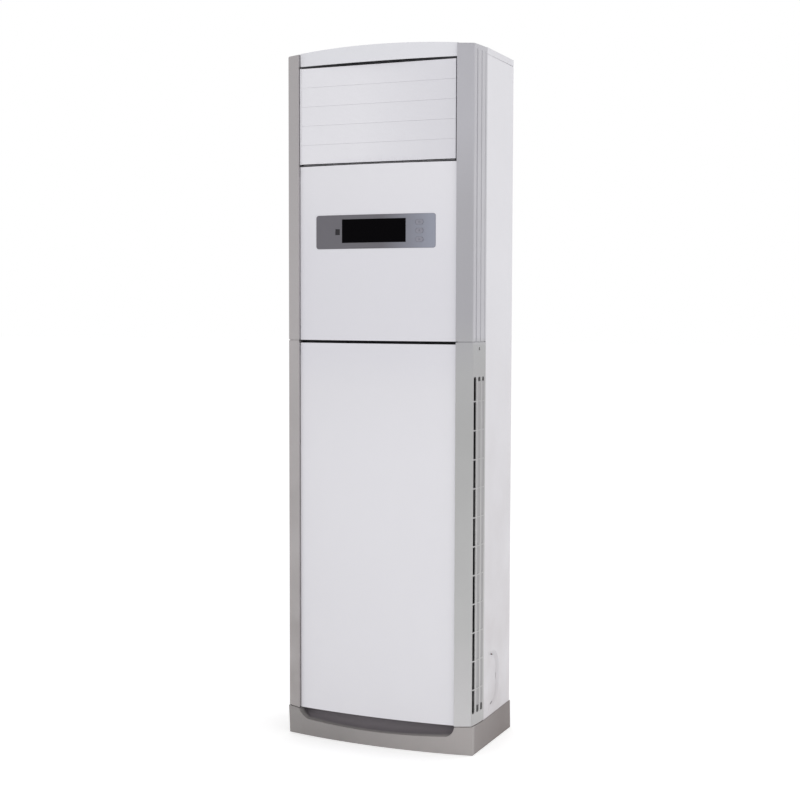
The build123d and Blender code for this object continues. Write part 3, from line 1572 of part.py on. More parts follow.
with BuildPart() as fan_motor:
    motor_front_y = plate_sheet_high_y + seat_gap
    add(cylinder_y(motor_plate_radius, motor_front_y, motor_front_y + 2, fan_x, fan_z))
    add(cylinder_y(motor_body_radius, motor_front_y, motor_front_y + motor_body_length, fan_x, fan_z))
    rear_rim = fan_motor.faces().sort_by(Axis.Y)[-1].edges()
    fillet(rear_rim, radius=8)
    add(
        cylinder_y(shaft_radius + running_play, motor_front_y - 1, plate_sheet_high_y + 24.5, fan_x, fan_z),
        mode=Mode.SUBTRACT,
    )
    with BuildSketch(Plane.XZ.offset(-motor_front_y - 3)):
        with Locations((fan_x, fan_z)):
            with PolarLocations(motor_plate_radius - 9, motor_bolt_count, start_angle=45):
                Circle(3)
    extrude(amount=4, mode=Mode.SUBTRACT)
fan_motor.part.label = "fan_motor"
export_step(fan_motor.part, "parts/fan_motor.step")

# ========================================================= divider, drain pan
divider_bottom_z = housing_top_z + seat_gap
divider_top_z = divider_bottom_z + divider_sheet
divider_half = trim_inner_x - seat_gap
pan_back_y = pan_front_y + pan_depth
pan_bottom_z = divider_top_z + seat_gap
with BuildPart() as divider_plate:
    add(
        block_between(
            (-divider_half, pan_front_y, divider_bottom_z),
            (divider_half, rear_panel_y - sheet - seat_gap, divider_top_z),
        )
    )
    add(
        block_between(
            (tongue[0], -fan_half_depth, divider_bottom_z - 1),
            (housing_right_x - scroll_sheet, fan_half_depth, divider_top_z + 1),
        ),
        mode=Mode.SUBTRACT,
    )
    add(
        cylinder_z(drain_radius + drain_wall, divider_bottom_z - 1, divider_top_z + 1,
                   drain_x, drain_y),
        mode=Mode.SUBTRACT,
    )
divider_plate.part.label = "divider_plate"
export_step(divider_plate.part, "parts/divider_plate.step")

coil_bottom_y = (pan_front_y + pan_back_y) / 2
coil_bottom_z = pan_bottom_z + pan_wall + pan_to_coil
coil_rise = mid_top_z - coil_top_margin - coil_bottom_z
coil_room = rear_panel_y - sheet - coil_back_gap - coil_bottom_y
coil_tilt = 0.0
for _ in range(12):
    reach = coil_room - coil_wall / 2 * cos(radians(coil_tilt))
    coil_tilt = degrees(atan(reach / coil_rise))
coil_length = coil_rise / cos(radians(coil_tilt))
coil_mid_y = coil_bottom_y + coil_length / 2 * sin(radians(coil_tilt))
coil_mid_z = coil_bottom_z + coil_length / 2 * cos(radians(coil_tilt))
coil_low_y = coil_bottom_y + coil_wall / 2 * cos(radians(coil_tilt))
coil_low_z = coil_bottom_z - coil_wall / 2 * sin(radians(coil_tilt))

with BuildPart() as drain_pan:
    add(
        rectangle_shell(
            (-divider_half, pan_front_y, pan_bottom_z),
            (divider_half, pan_back_y, pan_bottom_z + pan_height),
            pan_wall,
            open_top=True,
        )
    )
    # ribs that carry the coil's lower edge
    for side in (-1, 1):
        add(
            block_between(
                (side * coil_half_width * 0.75 - 4, coil_low_y - 6, pan_bottom_z + pan_wall - 0.2),
                (side * coil_half_width * 0.75 + 4, coil_low_y - 1, coil_low_z - seat_gap),
            )
        )
    add(cylinder_z(drain_radius, divider_bottom_z - spigot_length, pan_bottom_z + 1,
                   drain_x, drain_y))
    add(
        cylinder_z(drain_bore, divider_bottom_z - spigot_length - 1, pan_bottom_z + pan_wall + 1,
                   drain_x, drain_y),
        mode=Mode.SUBTRACT,
    )
drain_pan.part.label = "drain_pan"
export_step(drain_pan.part, "parts/drain_pan.step")

with BuildPart() as drain_hose:
    hose_top_z = divider_bottom_z - drain_wall
    add(cylinder_z(drain_radius + drain_wall, drain_end_z + drain_tip, hose_top_z, drain_x, drain_y))
    add(cylinder_z(drain_radius, drain_end_z, drain_end_z + 2 * drain_tip, drain_x, drain_y))
    add(
        cylinder_z(drain_radius + seat_gap / 3, hose_top_z - spigot_length, hose_top_z + 1,
                   drain_x, drain_y),
        mode=Mode.SUBTRACT,
    )
    add(cylinder_z(drain_bore, drain_end_z - 1, hose_top_z + 1, drain_x, drain_y), mode=Mode.SUBTRACT)
drain_hose.part.label = "drain_hose"
export_step(drain_hose.part, "parts/drain_hose.step")

# ==================================================================== coil
with BuildPart() as evaporator_fins:
    with BuildSketch(Plane.YZ.offset(-coil_half_width)):
        with Locations((coil_mid_y, coil_mid_z)):
            Rectangle(coil_wall, coil_length, rotation=-coil_tilt)
    extrude(amount=2 * coil_half_width)
evaporator_fins.part.label = "evaporator_fins"
export_step(evaporator_fins.part, "parts/evaporator_fins.step")

coil_tube_rows = 2 * int(coil_length / coil_tube_pitch / 2)


def tube_place(row, column):
    """Y and Z of a tube's middle in the coil's side view."""
    along = (row - (coil_tube_rows - 1) / 2) * coil_tube_pitch
    across = (column - (coil_columns - 1) / 2) * coil_tube_pitch
    tilt = radians(coil_tilt)
    return (
        coil_mid_y + along * sin(tilt) + across * cos(tilt),
        coil_mid_z + along * cos(tilt) - across * sin(tilt),
    )


def coil_end(side):
    """End plate of the coil with the return bends brazed into it."""
    first_row = 0 if side > 0 else 1
    plate_out_x = coil_half_width + coil_plate + seat_gap
    near_x, far_x = sorted((side * (coil_half_width + seat_gap), side * plate_out_x))
    tilt = radians(coil_tilt)
    with BuildPart() as end:
        with BuildSketch(Plane.YZ.offset(near_x)):
            with Locations((coil_mid_y, coil_mid_z)):
                Rectangle(coil_wall, coil_length, rotation=-coil_tilt)
        extrude(amount=far_x - near_x)
        for column in range(coil_columns):
            for row in range(first_row, coil_tube_rows - 1, 2):
                low = tube_place(row, column)
                high = tube_place(row + 1, column)
                middle = ((low[0] + high[0]) / 2, (low[1] + high[1]) / 2)
                section = Plane(
                    origin=(side * (plate_out_x - 0.2), high[0], high[1]),
                    x_dir=(0, sin(tilt), cos(tilt)),
                    z_dir=(side, 0, 0),
                )
                with BuildSketch(section):
                    Circle(coil_tube_radius)
                spin_axis = Axis((side * (plate_out_x - 0.2), middle[0], middle[1]),
                                 (0, side * cos(tilt), -side * sin(tilt)))
                revolve(axis=spin_axis, revolution_arc=180)
    return end.part


with BuildPart() as left_coil_end:
    add(coil_end(-1))
left_coil_end.part.label = "left_coil_end"
export_step(left_coil_end.part, "parts/left_coil_end.step")

with BuildPart() as right_coil_end:
    add(coil_end(1))
right_coil_end.part.label = "right_coil_end"
export_step(right_coil_end.part, "parts/right_coil_end.step")


def refrigerant_pipe(radius, pipe_y, top_z):
    """Copper pipe from the coil's end plate down to a flare nut."""
    bend = 3 * radius
    start_x = coil_half_width + coil_plate + 2 * seat_gap
    with BuildPart() as pipe:
        with BuildLine():
            across = Line((start_x, pipe_y, top_z), (pipe_x - bend, pipe_y, top_z))
            arc = ThreePointArc(
                across @ 1,
                (pipe_x - bend + bend * sin(radians(45)), pipe_y, top_z - bend + bend * cos(radians(45))),
                (pipe_x, pipe_y, top_z - bend),
            )
            Line(arc @ 1, (pipe_x, pipe_y, pipe_end_z))
        with BuildSketch(Plane(origin=(start_x, pipe_y, top_z), z_dir=(1, 0, 0))):
            Circle(radius)
        sweep()
        with BuildSketch(Plane.XY.offset(pipe_end_z + 20)):
            with Locations((pipe_x, pipe_y)):
                RegularPolygon(radius + 4, 6)
        extrude(amount=flare_nut_length)
    return pipe.part


def coil_z_at(place_y):
    """Height at which the coil's middle plane passes a Y."""
    return coil_bottom_z + (place_y - coil_bottom_y) * cos(radians(coil_tilt)) / sin(radians(coil_tilt))


with BuildPart() as gas_pipe:
    add(refrigerant_pipe(gas_radius, gas_y, coil_z_at(gas_y)))
gas_pipe.part.label = "gas_pipe"
export_step(gas_pipe.part, "parts/gas_pipe.step")

with BuildPart() as liquid_pipe:
    add(refrigerant_pipe(liquid_radius, liquid_y, coil_z_at(liquid_y)))
liquid_pipe.part.label = "liquid_pipe"
export_step(liquid_pipe.part, "parts/liquid_pipe.step")

# ============================================================== duct liner
liner_back_y = rear_panel_y - sheet - seat_gap
liner_front_y = frame_back_y + seat_gap
liner_bottom_z = mid_top_z - coil_top_margin + 18.0
liner_wall = 14.0
with BuildPart() as duct_liner:
    add(
        block_between(
            (-frame_inner_x, liner_front_y, liner_bottom_z),
            (frame_inner_x, liner_back_y, cabinet_top_z - 2 * sheet - seat_gap),
        )
    )
    with BuildSketch(Plane.YZ.offset(-frame_inner_x + liner_wall)):
        with BuildLine():
            foot_back = (liner_back_y - liner_wall, liner_bottom_z - 1)
            shoulder = (liner_back_y - liner_wall, frame_floor_z)
            mouth_top = (liner_front_y - 1, frame_roof_z)
            mid_turn = (
                liner_front_y + (shoulder[0] - liner_front_y) * sin(radians(45)),
                frame_floor_z + (frame_roof_z - frame_floor_z) * cos(radians(45)),
            )
            Line(foot_back, shoulder)
            ThreePointArc(shoulder, mid_turn, mouth_top)
            Polyline(
                mouth_top, (liner_front_y - 1, frame_floor_z), (liner_front_y + liner_wall, frame_floor_z),
                (liner_front_y + liner_wall, liner_bottom_z - 1), foot_back,
            )
        make_face()
    extrude(amount=2 * (frame_inner_x - liner_wall), mode=Mode.SUBTRACT)
    # clearance for the ends of the wall bracket's screws
    for side in (-1, 1):
        add(
            cylinder_y(screw_hole_radius, rear_panel_y - 2 * screw_length, back_y,
                       side * bracket_screw_x, wall_bracket_z - 16),
            mode=Mode.SUBTRACT,
        )
duct_liner.part.label = "duct_liner"
export_step(duct_liner.part, "parts/duct_liner.step")

# ========================================================== electrical box
box_front_y = panel_back_y + box_setback
box_right_x = tongue[0] - scroll_sheet - box_side_gap
box_low = (-post_inner_x + seat_gap, box_front_y, scroll_roof_z)
box_high = (box_right_x, box_front_y + box_depth, housing_top_z - seat_gap)
with BuildPart() as electrical_box:
    add(block_between(box_low, box_high))
    add(
        block_between(
            (box_low[0] + box_sheet, box_low[1] - 1, box_low[2] + box_sheet),
            (box_high[0] - box_sheet, box_high[1] - box_sheet, box_high[2] - box_sheet),
        ),
        mode=Mode.SUBTRACT,
    )
electrical_box.part.label = "electrical_box"
export_step(electrical_box.part, "parts/electrical_box.step")

board_z = box_low[2] + box_sheet + seat_gap
board_low_x = box_low[0] + board_margin
board_high_x = box_high[0] - board_margin
board_low_y = box_front_y + board_margin
board_high_y = box_front_y + box_depth - board_margin
board_top_z = board_z + standoff_height + board_wall
with BuildPart() as main_board:
    add(
        block_between(
            (board_low_x, board_low_y, board_z + standoff_height),
            (board_high_x, board_high_y, board_top_z),
        )
    )
    for place_x in (board_low_x + standoff_inset, board_high_x - standoff_inset):
        for place_y in (board_low_y + standoff_inset, board_high_y - standoff_inset):
            add(cylinder_z(standoff_radius, board_z, board_top_z, place_x, place_y))
    # transformer and capacitor at the back, relays in the middle, terminals at the front
    transformer_x = board_low_x + 2 * standoff_inset
    transformer_y = board_high_y - 2 * standoff_inset
    add(
        block_between(
            (transformer_x, transformer_y - transformer_depth, board_top_z - board_wall / 2),
            (transformer_x + transformer_width, transformer_y, board_top_z + transformer_height),
        )
    )
    add(
        cylinder_z(capacitor_radius, board_top_z - board_wall / 2, board_top_z + capacitor_height,
                   transformer_x + transformer_width + 2 * capacitor_radius,
                   transformer_y - transformer_depth / 2)
    )
    relay_y = transformer_y - transformer_depth - relay_depth
    for step in range(relay_count):
        relay_x = board_low_x + standoff_inset + relay_pitch * (step + 0.5)
        add(
            block_between(
                (relay_x, relay_y - relay_depth / 2, board_top_z - board_wall / 2),
                (relay_x + relay_width, relay_y + relay_depth / 2, board_top_z + relay_height),
            )
        )
    for step in range(terminal_count):
        terminal_x = board_low_x + 2 * standoff_inset + terminal_pitch * step
        add(
            block_between(
                (terminal_x, board_low_y + seat_gap, board_top_z - board_wall / 2),
                (terminal_x + terminal_width, board_low_y + relay_depth, board_top_z + relay_height),
            )
        )
main_board.part.label = "main_board"
export_step(main_board.part, "parts/main_board.step")

# ================================================================= filters
filter_inner_x = post_outer_x + seat_gap
filter_front_y = trim_corner_y + 2.5
filter_back_y = flank_column_y(slot_columns - 1) + slot_width / 2 + filter_margin
filter_bottom_z = grille_bottom_z - filter_margin
filter_top_z = grille_bottom_z + slot_height + filter_margin


def intake_filter(side):
    """Slide-in filter: a frame with cross bars and a thin mesh sheet."""
    outer_x = filter_inner_x + filter_wall
    bay = (filter_top_z - filter_bottom_z - filter_border) / 6
    with BuildPart() as screen:
        add(
            block_between(
                (filter_inner_x, filter_front_y, filter_bottom_z),
                (outer_x, filter_back_y, filter_top_z),
            )
        )
        for step in range(6):
            low_z = filter_bottom_z + filter_border + bay * step
            mesh_x = filter_inner_x + filter_wall / 2
            for low_x, high_x in ((filter_inner_x - 1, mesh_x), (mesh_x + filter_mesh, outer_x + 1)):
                add(
                    block_between(
                        (low_x, filter_front_y + filter_border, low_z),
                        (high_x, filter_back_y - filter_border, low_z + bay - filter_border),
                    ),
                    mode=Mode.SUBTRACT,
                )
    return screen.part if side > 0 else mirror(screen.part, about=Plane.YZ, mode=Mode.PRIVATE)


with BuildPart() as left_filter:
    add(intake_filter(-1))
left_filter.part.label = "left_filter"
export_step(left_filter.part, "parts/left_filter.step")

with BuildPart() as right_filter:
    add(intake_filter(1))
right_filter.part.label = "right_filter"
export_step(right_filter.part, "parts/right_filter.step")

# ============================================================ wall bracket
with BuildPart() as wall_bracket:
    near_y = rear_panel_y + seat_gap
    far_y = back_y - wall_bracket_sheet
    add(
        block_between(
            (-wall_bracket_half_width, near_y, wall_bracket_z - 32),
            (wall_bracket_half_width, near_y + wall_bracket_sheet, wall_bracket_z),
        )
    )
    add(
        block_between(
            (-wall_bracket_half_width, near_y, wall_bracket_z - wall_bracket_sheet),
            (wall_bracket_half_width, back_y, wall_bracket_z),
        )
    )
    add(
        block_between(
            (-wall_bracket_half_width, far_y, wall_bracket_z - wall_bracket_sheet),
            (wall_bracket_half_width, back_y, wall_bracket_z + 30),
        )
    )
    for side in (-1, 1):
        add(
            cylinder_y(wall_hole_radius, far_y - 1, back_y + 1, side * wall_hole_spacing / 2,
                       wall_bracket_z + 16),
            mode=Mode.SUBTRACT,
        )
        add(
            cylinder_y(screw_hole_radius, near_y - 1, near_y + wall_bracket_sheet + 1,
                       side * bracket_screw_x, wall_bracket_z - 16),
            mode=Mode.SUBTRACT,
        )
wall_bracket.part.label = "wall_bracket"
export_step(wall_bracket.part, "parts/wall_bracket.step")


def rear_screw(place_x, place_z, seat_y):
    """Pan-head screw driven forwards from the back."""
    with BuildPart() as screw:
        add(cylinder_y(screw_head_radius, seat_y, seat_y + screw_head_height, place_x, place_z))
        rim = screw.faces().sort_by(Axis.Y)[-1].edges()
        fillet(rim, radius=1.2)
        add(cylinder_y(screw_radius, seat_y - screw_length, seat_y + 0.5, place_x, place_z))
    return screw.part


with BuildPart() as case_screws:
    for screw_z in rear_screw_places():
        for side in (-1, 1):
            add(rear_screw(side * rear_screw_x, screw_z, cabinet_back_y))
    for side in (-1, 1):
        add(rear_screw(side * bracket_screw_x, wall_bracket_z - 16, near_y + wall_bracket_sheet))
    for side in (-1, 1):
        screw_y = trim_corner_y + trim_screw_y
        screw_z = trim_seam_z - trim_screw_drop
        head_x = side * (trim_corner_x - 0.4)
        add(cylinder_x(screw_head_radius, head_x, head_x + side * screw_head_height, screw_y, screw_z))
        add(cylinder_x(screw_radius, head_x + side * 0.5, head_x - side * screw_length, screw_y, screw_z))
case_screws.part.label = "case_screws"
export_step(case_screws.part, "parts/case_screws.step")
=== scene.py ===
"""Floor standing air conditioner: finishes and finely made pieces on the CAD frame, in metres."""
import json
import logging
import math
from dataclasses import dataclass, replace
from enum import Enum
from typing import Callable, Iterable

import bmesh
import bpy
from mathutils import Matrix, Vector

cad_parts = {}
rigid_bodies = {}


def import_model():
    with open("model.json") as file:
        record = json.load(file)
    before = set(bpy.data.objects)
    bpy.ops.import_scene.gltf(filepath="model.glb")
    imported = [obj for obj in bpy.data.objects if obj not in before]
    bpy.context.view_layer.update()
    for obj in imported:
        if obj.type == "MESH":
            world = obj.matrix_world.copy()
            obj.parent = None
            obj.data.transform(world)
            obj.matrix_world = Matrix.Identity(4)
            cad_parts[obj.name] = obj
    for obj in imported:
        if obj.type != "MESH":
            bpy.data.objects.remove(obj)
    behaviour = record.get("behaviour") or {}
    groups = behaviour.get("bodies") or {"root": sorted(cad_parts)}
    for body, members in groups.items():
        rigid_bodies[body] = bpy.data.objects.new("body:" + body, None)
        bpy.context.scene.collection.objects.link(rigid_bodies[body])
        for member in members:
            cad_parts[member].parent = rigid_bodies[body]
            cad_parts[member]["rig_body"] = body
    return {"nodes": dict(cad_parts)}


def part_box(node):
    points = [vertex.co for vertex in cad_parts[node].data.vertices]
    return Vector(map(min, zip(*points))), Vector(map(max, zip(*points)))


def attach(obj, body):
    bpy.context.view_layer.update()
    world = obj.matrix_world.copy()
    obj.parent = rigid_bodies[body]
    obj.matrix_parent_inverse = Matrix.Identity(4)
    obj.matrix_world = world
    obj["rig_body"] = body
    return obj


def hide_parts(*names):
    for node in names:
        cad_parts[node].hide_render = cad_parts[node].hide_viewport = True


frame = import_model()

LOG = logging.getLogger("air_conditioner")
MM = 0.001
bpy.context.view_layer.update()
WHITE = (1.0, 1.0, 1.0, 1.0)
SOOT = (0.02, 0.02, 0.02, 1.0)
CRISP_ANGLE = math.radians(35)
ROUND_ANGLE = math.radians(42)
WELD_REACH = 0.01 * MM

# A corner is worn in full where the rounded and the true normal are this far apart, as a cosine.
CORNER_DOT = 0.8
# Most of a noise's values lie in this range.
NOISE_RANGE = (0.3, 0.7)

THIN_EDGE = 0.25 * MM
SHEET_EDGE = 0.3 * MM
SOFT_EDGE = 0.5 * MM

Point = tuple[float, float, float]
Colour = tuple[float, float, float]
Stops = tuple[tuple[float, Colour], ...]
Outline = list[tuple[float, float]]


class Axis(Enum):
    """A direction along which a profile is turned or drawn out."""

    X = 0
    Y = 1
    Z = 2


class Slot(Enum):
    """The record's material slots."""

    PANEL = "panel_white"
    FASCIA = "fascia_white"
    LOUVER = "louver_white"
    TRIM = "trim_grey"
    PLINTH = "plinth_grey"
    PLATE = "plate_grey"
    WINDOW = "window_black"
    BUTTON = "button_grey"
    DARK = "dark_plastic"
    DUCT = "duct_dark"
    FOAM = "foam_white"
    GALVANISED = "galvanised"
    FIN = "fin_aluminium"
    COPPER = "copper"
    PAN = "pan_white"
    HOSE = "hose_grey"
    MOTOR = "motor_steel"
    BOARD = "board_green"
    NET = "mesh_dark"
    SCREW = "zinc_screw"


def linear(colour: Colour) -> tuple[float, float, float, float]:
    """Turn a colour from screen values, 0 to 255, into the shader's linear values.

    Args:
        colour: red, green and blue as they look on a screen.

    Returns:
        Linear red, green, blue and an alpha of 1.
    """
    values = []
    for part in colour:
        share = part / 255
        values.append(share / 12.92 if share <= 0.04045 else ((share + 0.055) / 1.055) ** 2.4)
    return (values[0], values[1], values[2], 1.0)


def node_body(node: str) -> str:
    """Name the body that a CAD node belongs to."""
    return frame["nodes"][node]["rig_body"]


def mirror_sign(side: str) -> float:
    """Give 1 for the right side and -1 for the left one."""
    return 1.0 if side == "right" else -1.0


def add_object(name: str, data: bpy.types.ID) -> bpy.types.Object:
    """Link a new object with its data to the scene."""
    made = bpy.data.objects.new(name, data)
    bpy.context.scene.collection.objects.link(made)
    return made


def modified_mesh(carrier: bpy.types.Object) -> bpy.types.Mesh:
    """Keep what an object's modifiers make of it as plain mesh data."""
    graph = bpy.context.evaluated_depsgraph_get()
    return bpy.data.meshes.new_from_object(carrier.evaluated_get(graph))


def smooth(mesh: bpy.types.Mesh) -> bpy.types.Mesh:
    """Shade a mesh with smooth curves and crisp corners."""
    mesh.shade_smooth()
    mesh.set_sharp_from_angle(angle=CRISP_ANGLE)
    return mesh


class NodeGraph:
    """A node tree, with short ways to add and join its nodes."""

    def __init__(self, tree: bpy.types.NodeTree) -> None:
        """Keep the tree that the nodes go into."""
        self.tree = tree

    def join(self, source: object, target: bpy.types.NodeSocket) -> None:
        """Link an output to an input, or write a plain value into the input.

        Args:
            source: an output socket or a value.
            target: the input socket.
        """
        if isinstance(source, bpy.types.NodeSocket):
            self.tree.links.new(source, target)
        else:
            target.default_value = source

    def add(self, kind: str, joins: dict[str | int, object] | None = None,
            **settings: object) -> bpy.types.Node:
        """Add a node with its inputs joined.

        Args:
            kind: the node's type.
            joins: value or output for each named or numbered input.
            **settings: the node's own properties.

        Returns:
            The new node.
        """
        node = self.tree.nodes.new(kind)
        for key, value in settings.items():
            setattr(node, key, value)
        for key, value in (joins or {}).items():
            self.join(value, node.inputs[key])
        return node

    def maths(self, operation: str, first: object, second: object = 0.0) -> object:
        """Combine two values or outputs."""
        return self.add("ShaderNodeMath", {0: first, 1: second}, operation=operation).outputs[0]

    def remap(self, source: object, low: float, high: float, to_low: float, to_high: float) -> object:
        """Map a value from the range low to high to another range, clamped."""
        joins = dict(enumerate((source, low, high, to_low, to_high)))
        return self.add("ShaderNodeMapRange", joins).outputs["Result"]

    def ray_kinds(self) -> tuple[object, object]:
        """Tell the camera's rays, and the rays that come by a mirror or through glass."""
        ray = self.add("ShaderNodeLightPath").outputs
        mirrored = self.maths("MAXIMUM", ray["Is Glossy Ray"], ray["Is Transmission Ray"])
        return ray["Is Camera Ray"], mirrored


class ShaderGraph(NodeGraph):
    """A material's node tree, with what the finishes use."""

    def __init__(self, name: str) -> None:
        """Start an empty material.

        Args:
            name: the material's name.
        """
        self.material = bpy.data.materials.new(name)
        self.material.use_nodes = True
        super().__init__(self.material.node_tree)
        self.shader = self.tree.nodes["Principled BSDF"]
        self.place = self.add("ShaderNodeTexCoord").outputs["Object"]

    def noise(self, scale: float, detail: float = 2.0, stretch: Point = (1, 1, 1)) -> object:
        """Noise of object coordinates.

        Args:
            scale: features per metre.
            detail: octaves.
            stretch: scale along each axis.

        Returns:
            The noise's factor.
        """
        mapping = self.add("ShaderNodeMapping", {"Vector": self.place, "Scale": stretch})
        texture = self.add("ShaderNodeTexNoise", {
            "Vector": mapping.outputs["Vector"], "Scale": scale, "Detail": detail})
        return texture.outputs["Fac"]

    def spread(self, noise: object, to_low: float, to_high: float) -> object:
        """Map the usual range of a noise to another range."""
        return self.remap(noise, *NOISE_RANGE, to_low, to_high)

    def cells(self, scale: float, feature: str = "F1", output: str = "Distance") -> object:
        """Give an output of Voronoi cells of object coordinates, with the scale in cells per metre."""
        joins = {"Vector": self.place, "Scale": scale}
        return self.add("ShaderNodeTexVoronoi", joins, feature=feature).outputs[output]

    def blend(self, share: object, first: object, second: object) -> object:
        """Mix two colours; the share is the second one's part."""
        return self.add("ShaderNodeMix", {0: share, 6: first, 7: second}, data_type="RGBA").outputs[2]

    def part_of_place(self, axis: Axis) -> object:
        """Give one object coordinate."""
        return self.add("ShaderNodeSeparateXYZ", {0: self.place}).outputs[axis.value]

    def edge_mask(self, radius: float) -> object:
        """Find where faces turn a corner.

        Args:
            radius: how far round a corner the mask reaches.

        Returns:
            0 on flats, rising to 1 on corners.
        """
        rounded = self.add("ShaderNodeBevel", {"Radius": radius}, samples=4)
        true_normal = self.add("ShaderNodeNewGeometry").outputs["Normal"]
        dot = self.add("ShaderNodeVectorMath", {0: rounded.outputs[0], 1: true_normal},
                       operation="DOT_PRODUCT")
        return self.remap(dot.outputs["Value"], 1.0, CORNER_DOT, 0.0, 1.0)

    def emboss(self, height: object, depth: float) -> None:
        """Drive the shader's normal from a height, with the bump's depth in metres."""
        bump = self.add("ShaderNodeBump", {"Strength": 1.0, "Distance": depth, "Height": height})
        self.join(bump.outputs["Normal"], self.shader.inputs["Normal"])


@dataclass(frozen=True)
class Finish:
    """A moulded or painted coat: patches of tone, grain, worn corners, a darkening towards the floor that
    is partly dust and partly painted shade, and painted shade in creases.
    """

    name: str
    slot: Slot
    tint: Colour
    roughness: float = 0.45
    metallic: float = 0.0
    specular: float = 0.35
    patch_scale: float = 5.0
    patch_depth: float = 0.03
    grain_scale: float = 700.0
    grain_depth: float = 0.00004
    worn_tint: Colour = (240, 240, 240)
    wear: float = 0.12
    # Darkening towards the floor, partly dust and partly painted shade.
    dust_tint: Colour = (196, 190, 182)
    dust: float = 0.0
    dust_top: float = 0.5
    # Painted shade in creases, found by ambient occlusion.
    crease: float = 0.0
    crease_tint: Colour = (120, 116, 116)
    crease_reach: float = 6 * MM
    coat: float = 0.0
    worn_reach: float = 1.2 * MM
    scuff_scale: float = 55.0
    scuff_range: tuple[float, float] = (0.42, 0.62)
    crease_range: tuple[float, float] = (0.4, 0.97)
    cloud_scale: float = 9.0
    patch_gloss: float = 0.05
    grain_gloss: float = 0.04

    def material(self) -> bpy.types.Material:
        """Build the finish.

        Returns:
            The material.
        """
        graph = ShaderGraph(self.name)
        patches = graph.noise(self.patch_scale, 3.0)
        grain = graph.noise(self.grain_scale)
        colour = self.base_colour(graph, patches)
        scuffs = graph.remap(graph.noise(self.scuff_scale, 4.0), *self.scuff_range, 0.0, 1.0)
        corners = graph.maths("MULTIPLY", graph.edge_mask(self.worn_reach), scuffs)
        colour = graph.blend(graph.maths("MULTIPLY", corners, self.wear), colour, linear(self.worn_tint))
        # Darker towards the floor: faint dust on the front panels, painted shade where it is strong, on
        # the side panels and the left trims.
        if self.dust > 0:
            height = graph.remap(graph.part_of_place(Axis.Z), 0.0, self.dust_top, 1.0, 0.0)
            cloud = graph.spread(graph.noise(self.cloud_scale, 4.0), 0.5, 1.0)
            dust_and_shade_share = graph.maths("MULTIPLY", graph.maths("MULTIPLY", height, cloud), self.dust)
            colour = graph.blend(dust_and_shade_share, colour, linear(self.dust_tint))
        # Painted shade: darken the colour where ambient occlusion finds a crease.
        if self.crease > 0:
            open_air = graph.add("ShaderNodeAmbientOcclusion", {"Distance": self.crease_reach},
                                 samples=8, only_local=True)
            painted_crease_shade = graph.remap(open_air.outputs["AO"], *self.crease_range, self.crease, 0.0)
            colour = graph.blend(painted_crease_shade, colour, linear(self.crease_tint))
        rough = graph.maths("ADD", graph.spread(patches, -self.patch_gloss, self.patch_gloss),
                            graph.spread(grain, self.roughness - self.grain_gloss,
                                         self.roughness + self.grain_gloss))
        inputs = {"Base Color": colour, "Roughness": rough, "Metallic": self.metallic,
                  "Specular IOR Level": self.specular, "Coat Weight": self.coat}
        for label, value in inputs.items():
            graph.join(value, graph.shader.inputs[label])
        graph.emboss(self.relief(graph, grain), self.grain_depth)
        return graph.material

    def base_colour(self, graph: ShaderGraph, patches: object) -> object:
        """Give the coat's colour before wear, with slow noise as its patches."""
        low = tuple(part * (1 - self.patch_depth) for part in self.tint)
        return graph.blend(graph.spread(patches, 0.0, 1.0), linear(self.tint), linear(low))

    def relief(self, graph: ShaderGraph, grain: object) -> object:
        """Give the height of the coat's grain."""
        return grain


@dataclass(frozen=True)
class GradedFinish(Finish):
    """A coat whose colour changes along one axis, from the tint through a row of stops; the stops paint
    light and shade into it.
    """

    axis: Axis = Axis.X
    start: float = -0.16
    stops: Stops = ()
    brushed: bool = False
    brush_stretch: Point = (0.04, 1.0, 1.0)

    def grade(self, graph: ShaderGraph, tint: Colour, start: float, stops: Stops) -> object:
        """Give a colour that changes along the axis.

        Args:
            graph: the material's nodes.
            tint: the colour up to the start.
            start: where the first change begins.
            stops: the place and the colour of each stop.

        Returns:
            The colour's socket, or the plain colour where there is no stop.
        """
        along = graph.part_of_place(self.axis)
        colour, place = linear(tint), start
        for end, shade in stops:
            colour = graph.blend(graph.remap(along, place, end, 0.0, 1.0), colour, linear(shade))
            place = end
        return colour

    def base_colour(self, graph: ShaderGraph, patches: object) -> object:
        """Grade the colour along the axis, with the patches laid over it."""
        colour = self.grade(graph, self.tint, self.start, self.stops)
        return graph.blend(graph.spread(patches, 0.0, self.patch_depth), colour, SOOT)

    def relief(self, graph: ShaderGraph, grain: object) -> object:
        """Give fine lines along X, as on brushed metal, or the plain grain."""
        return graph.noise(self.grain_scale, stretch=self.brush_stretch) if self.brushed else grain


@dataclass(frozen=True)
class CornerFinish(GradedFinish):
    """The corner trims' coat, graded with painted light and shade, whose bevel beside the front panels
    has a painted grade of its own.
    """

    bevel_tint: Colour = (196, 195, 196)
    bevel_start: float = 0.1
    bevel_stops: Stops = ()
    bevel_back: float = -0.1301
    bevel_blur: float = 1 * MM

    def base_colour(self, graph: ShaderGraph, patches: object) -> object:
        """Grade the flank and the bevel apart, each with its painted light and shade, and part them at
        the bevel's back edge.
        """
        flank = super().base_colour(graph, patches)
        bevel = self.grade(graph, self.bevel_tint, self.bevel_start, self.bevel_stops)
        behind = graph.remap(graph.part_of_place(Axis.Y), self.bevel_back - self.bevel_blur,
                             self.bevel_back + self.bevel_blur, 0.0, 1.0)
        return graph.blend(behind, bevel, flank)


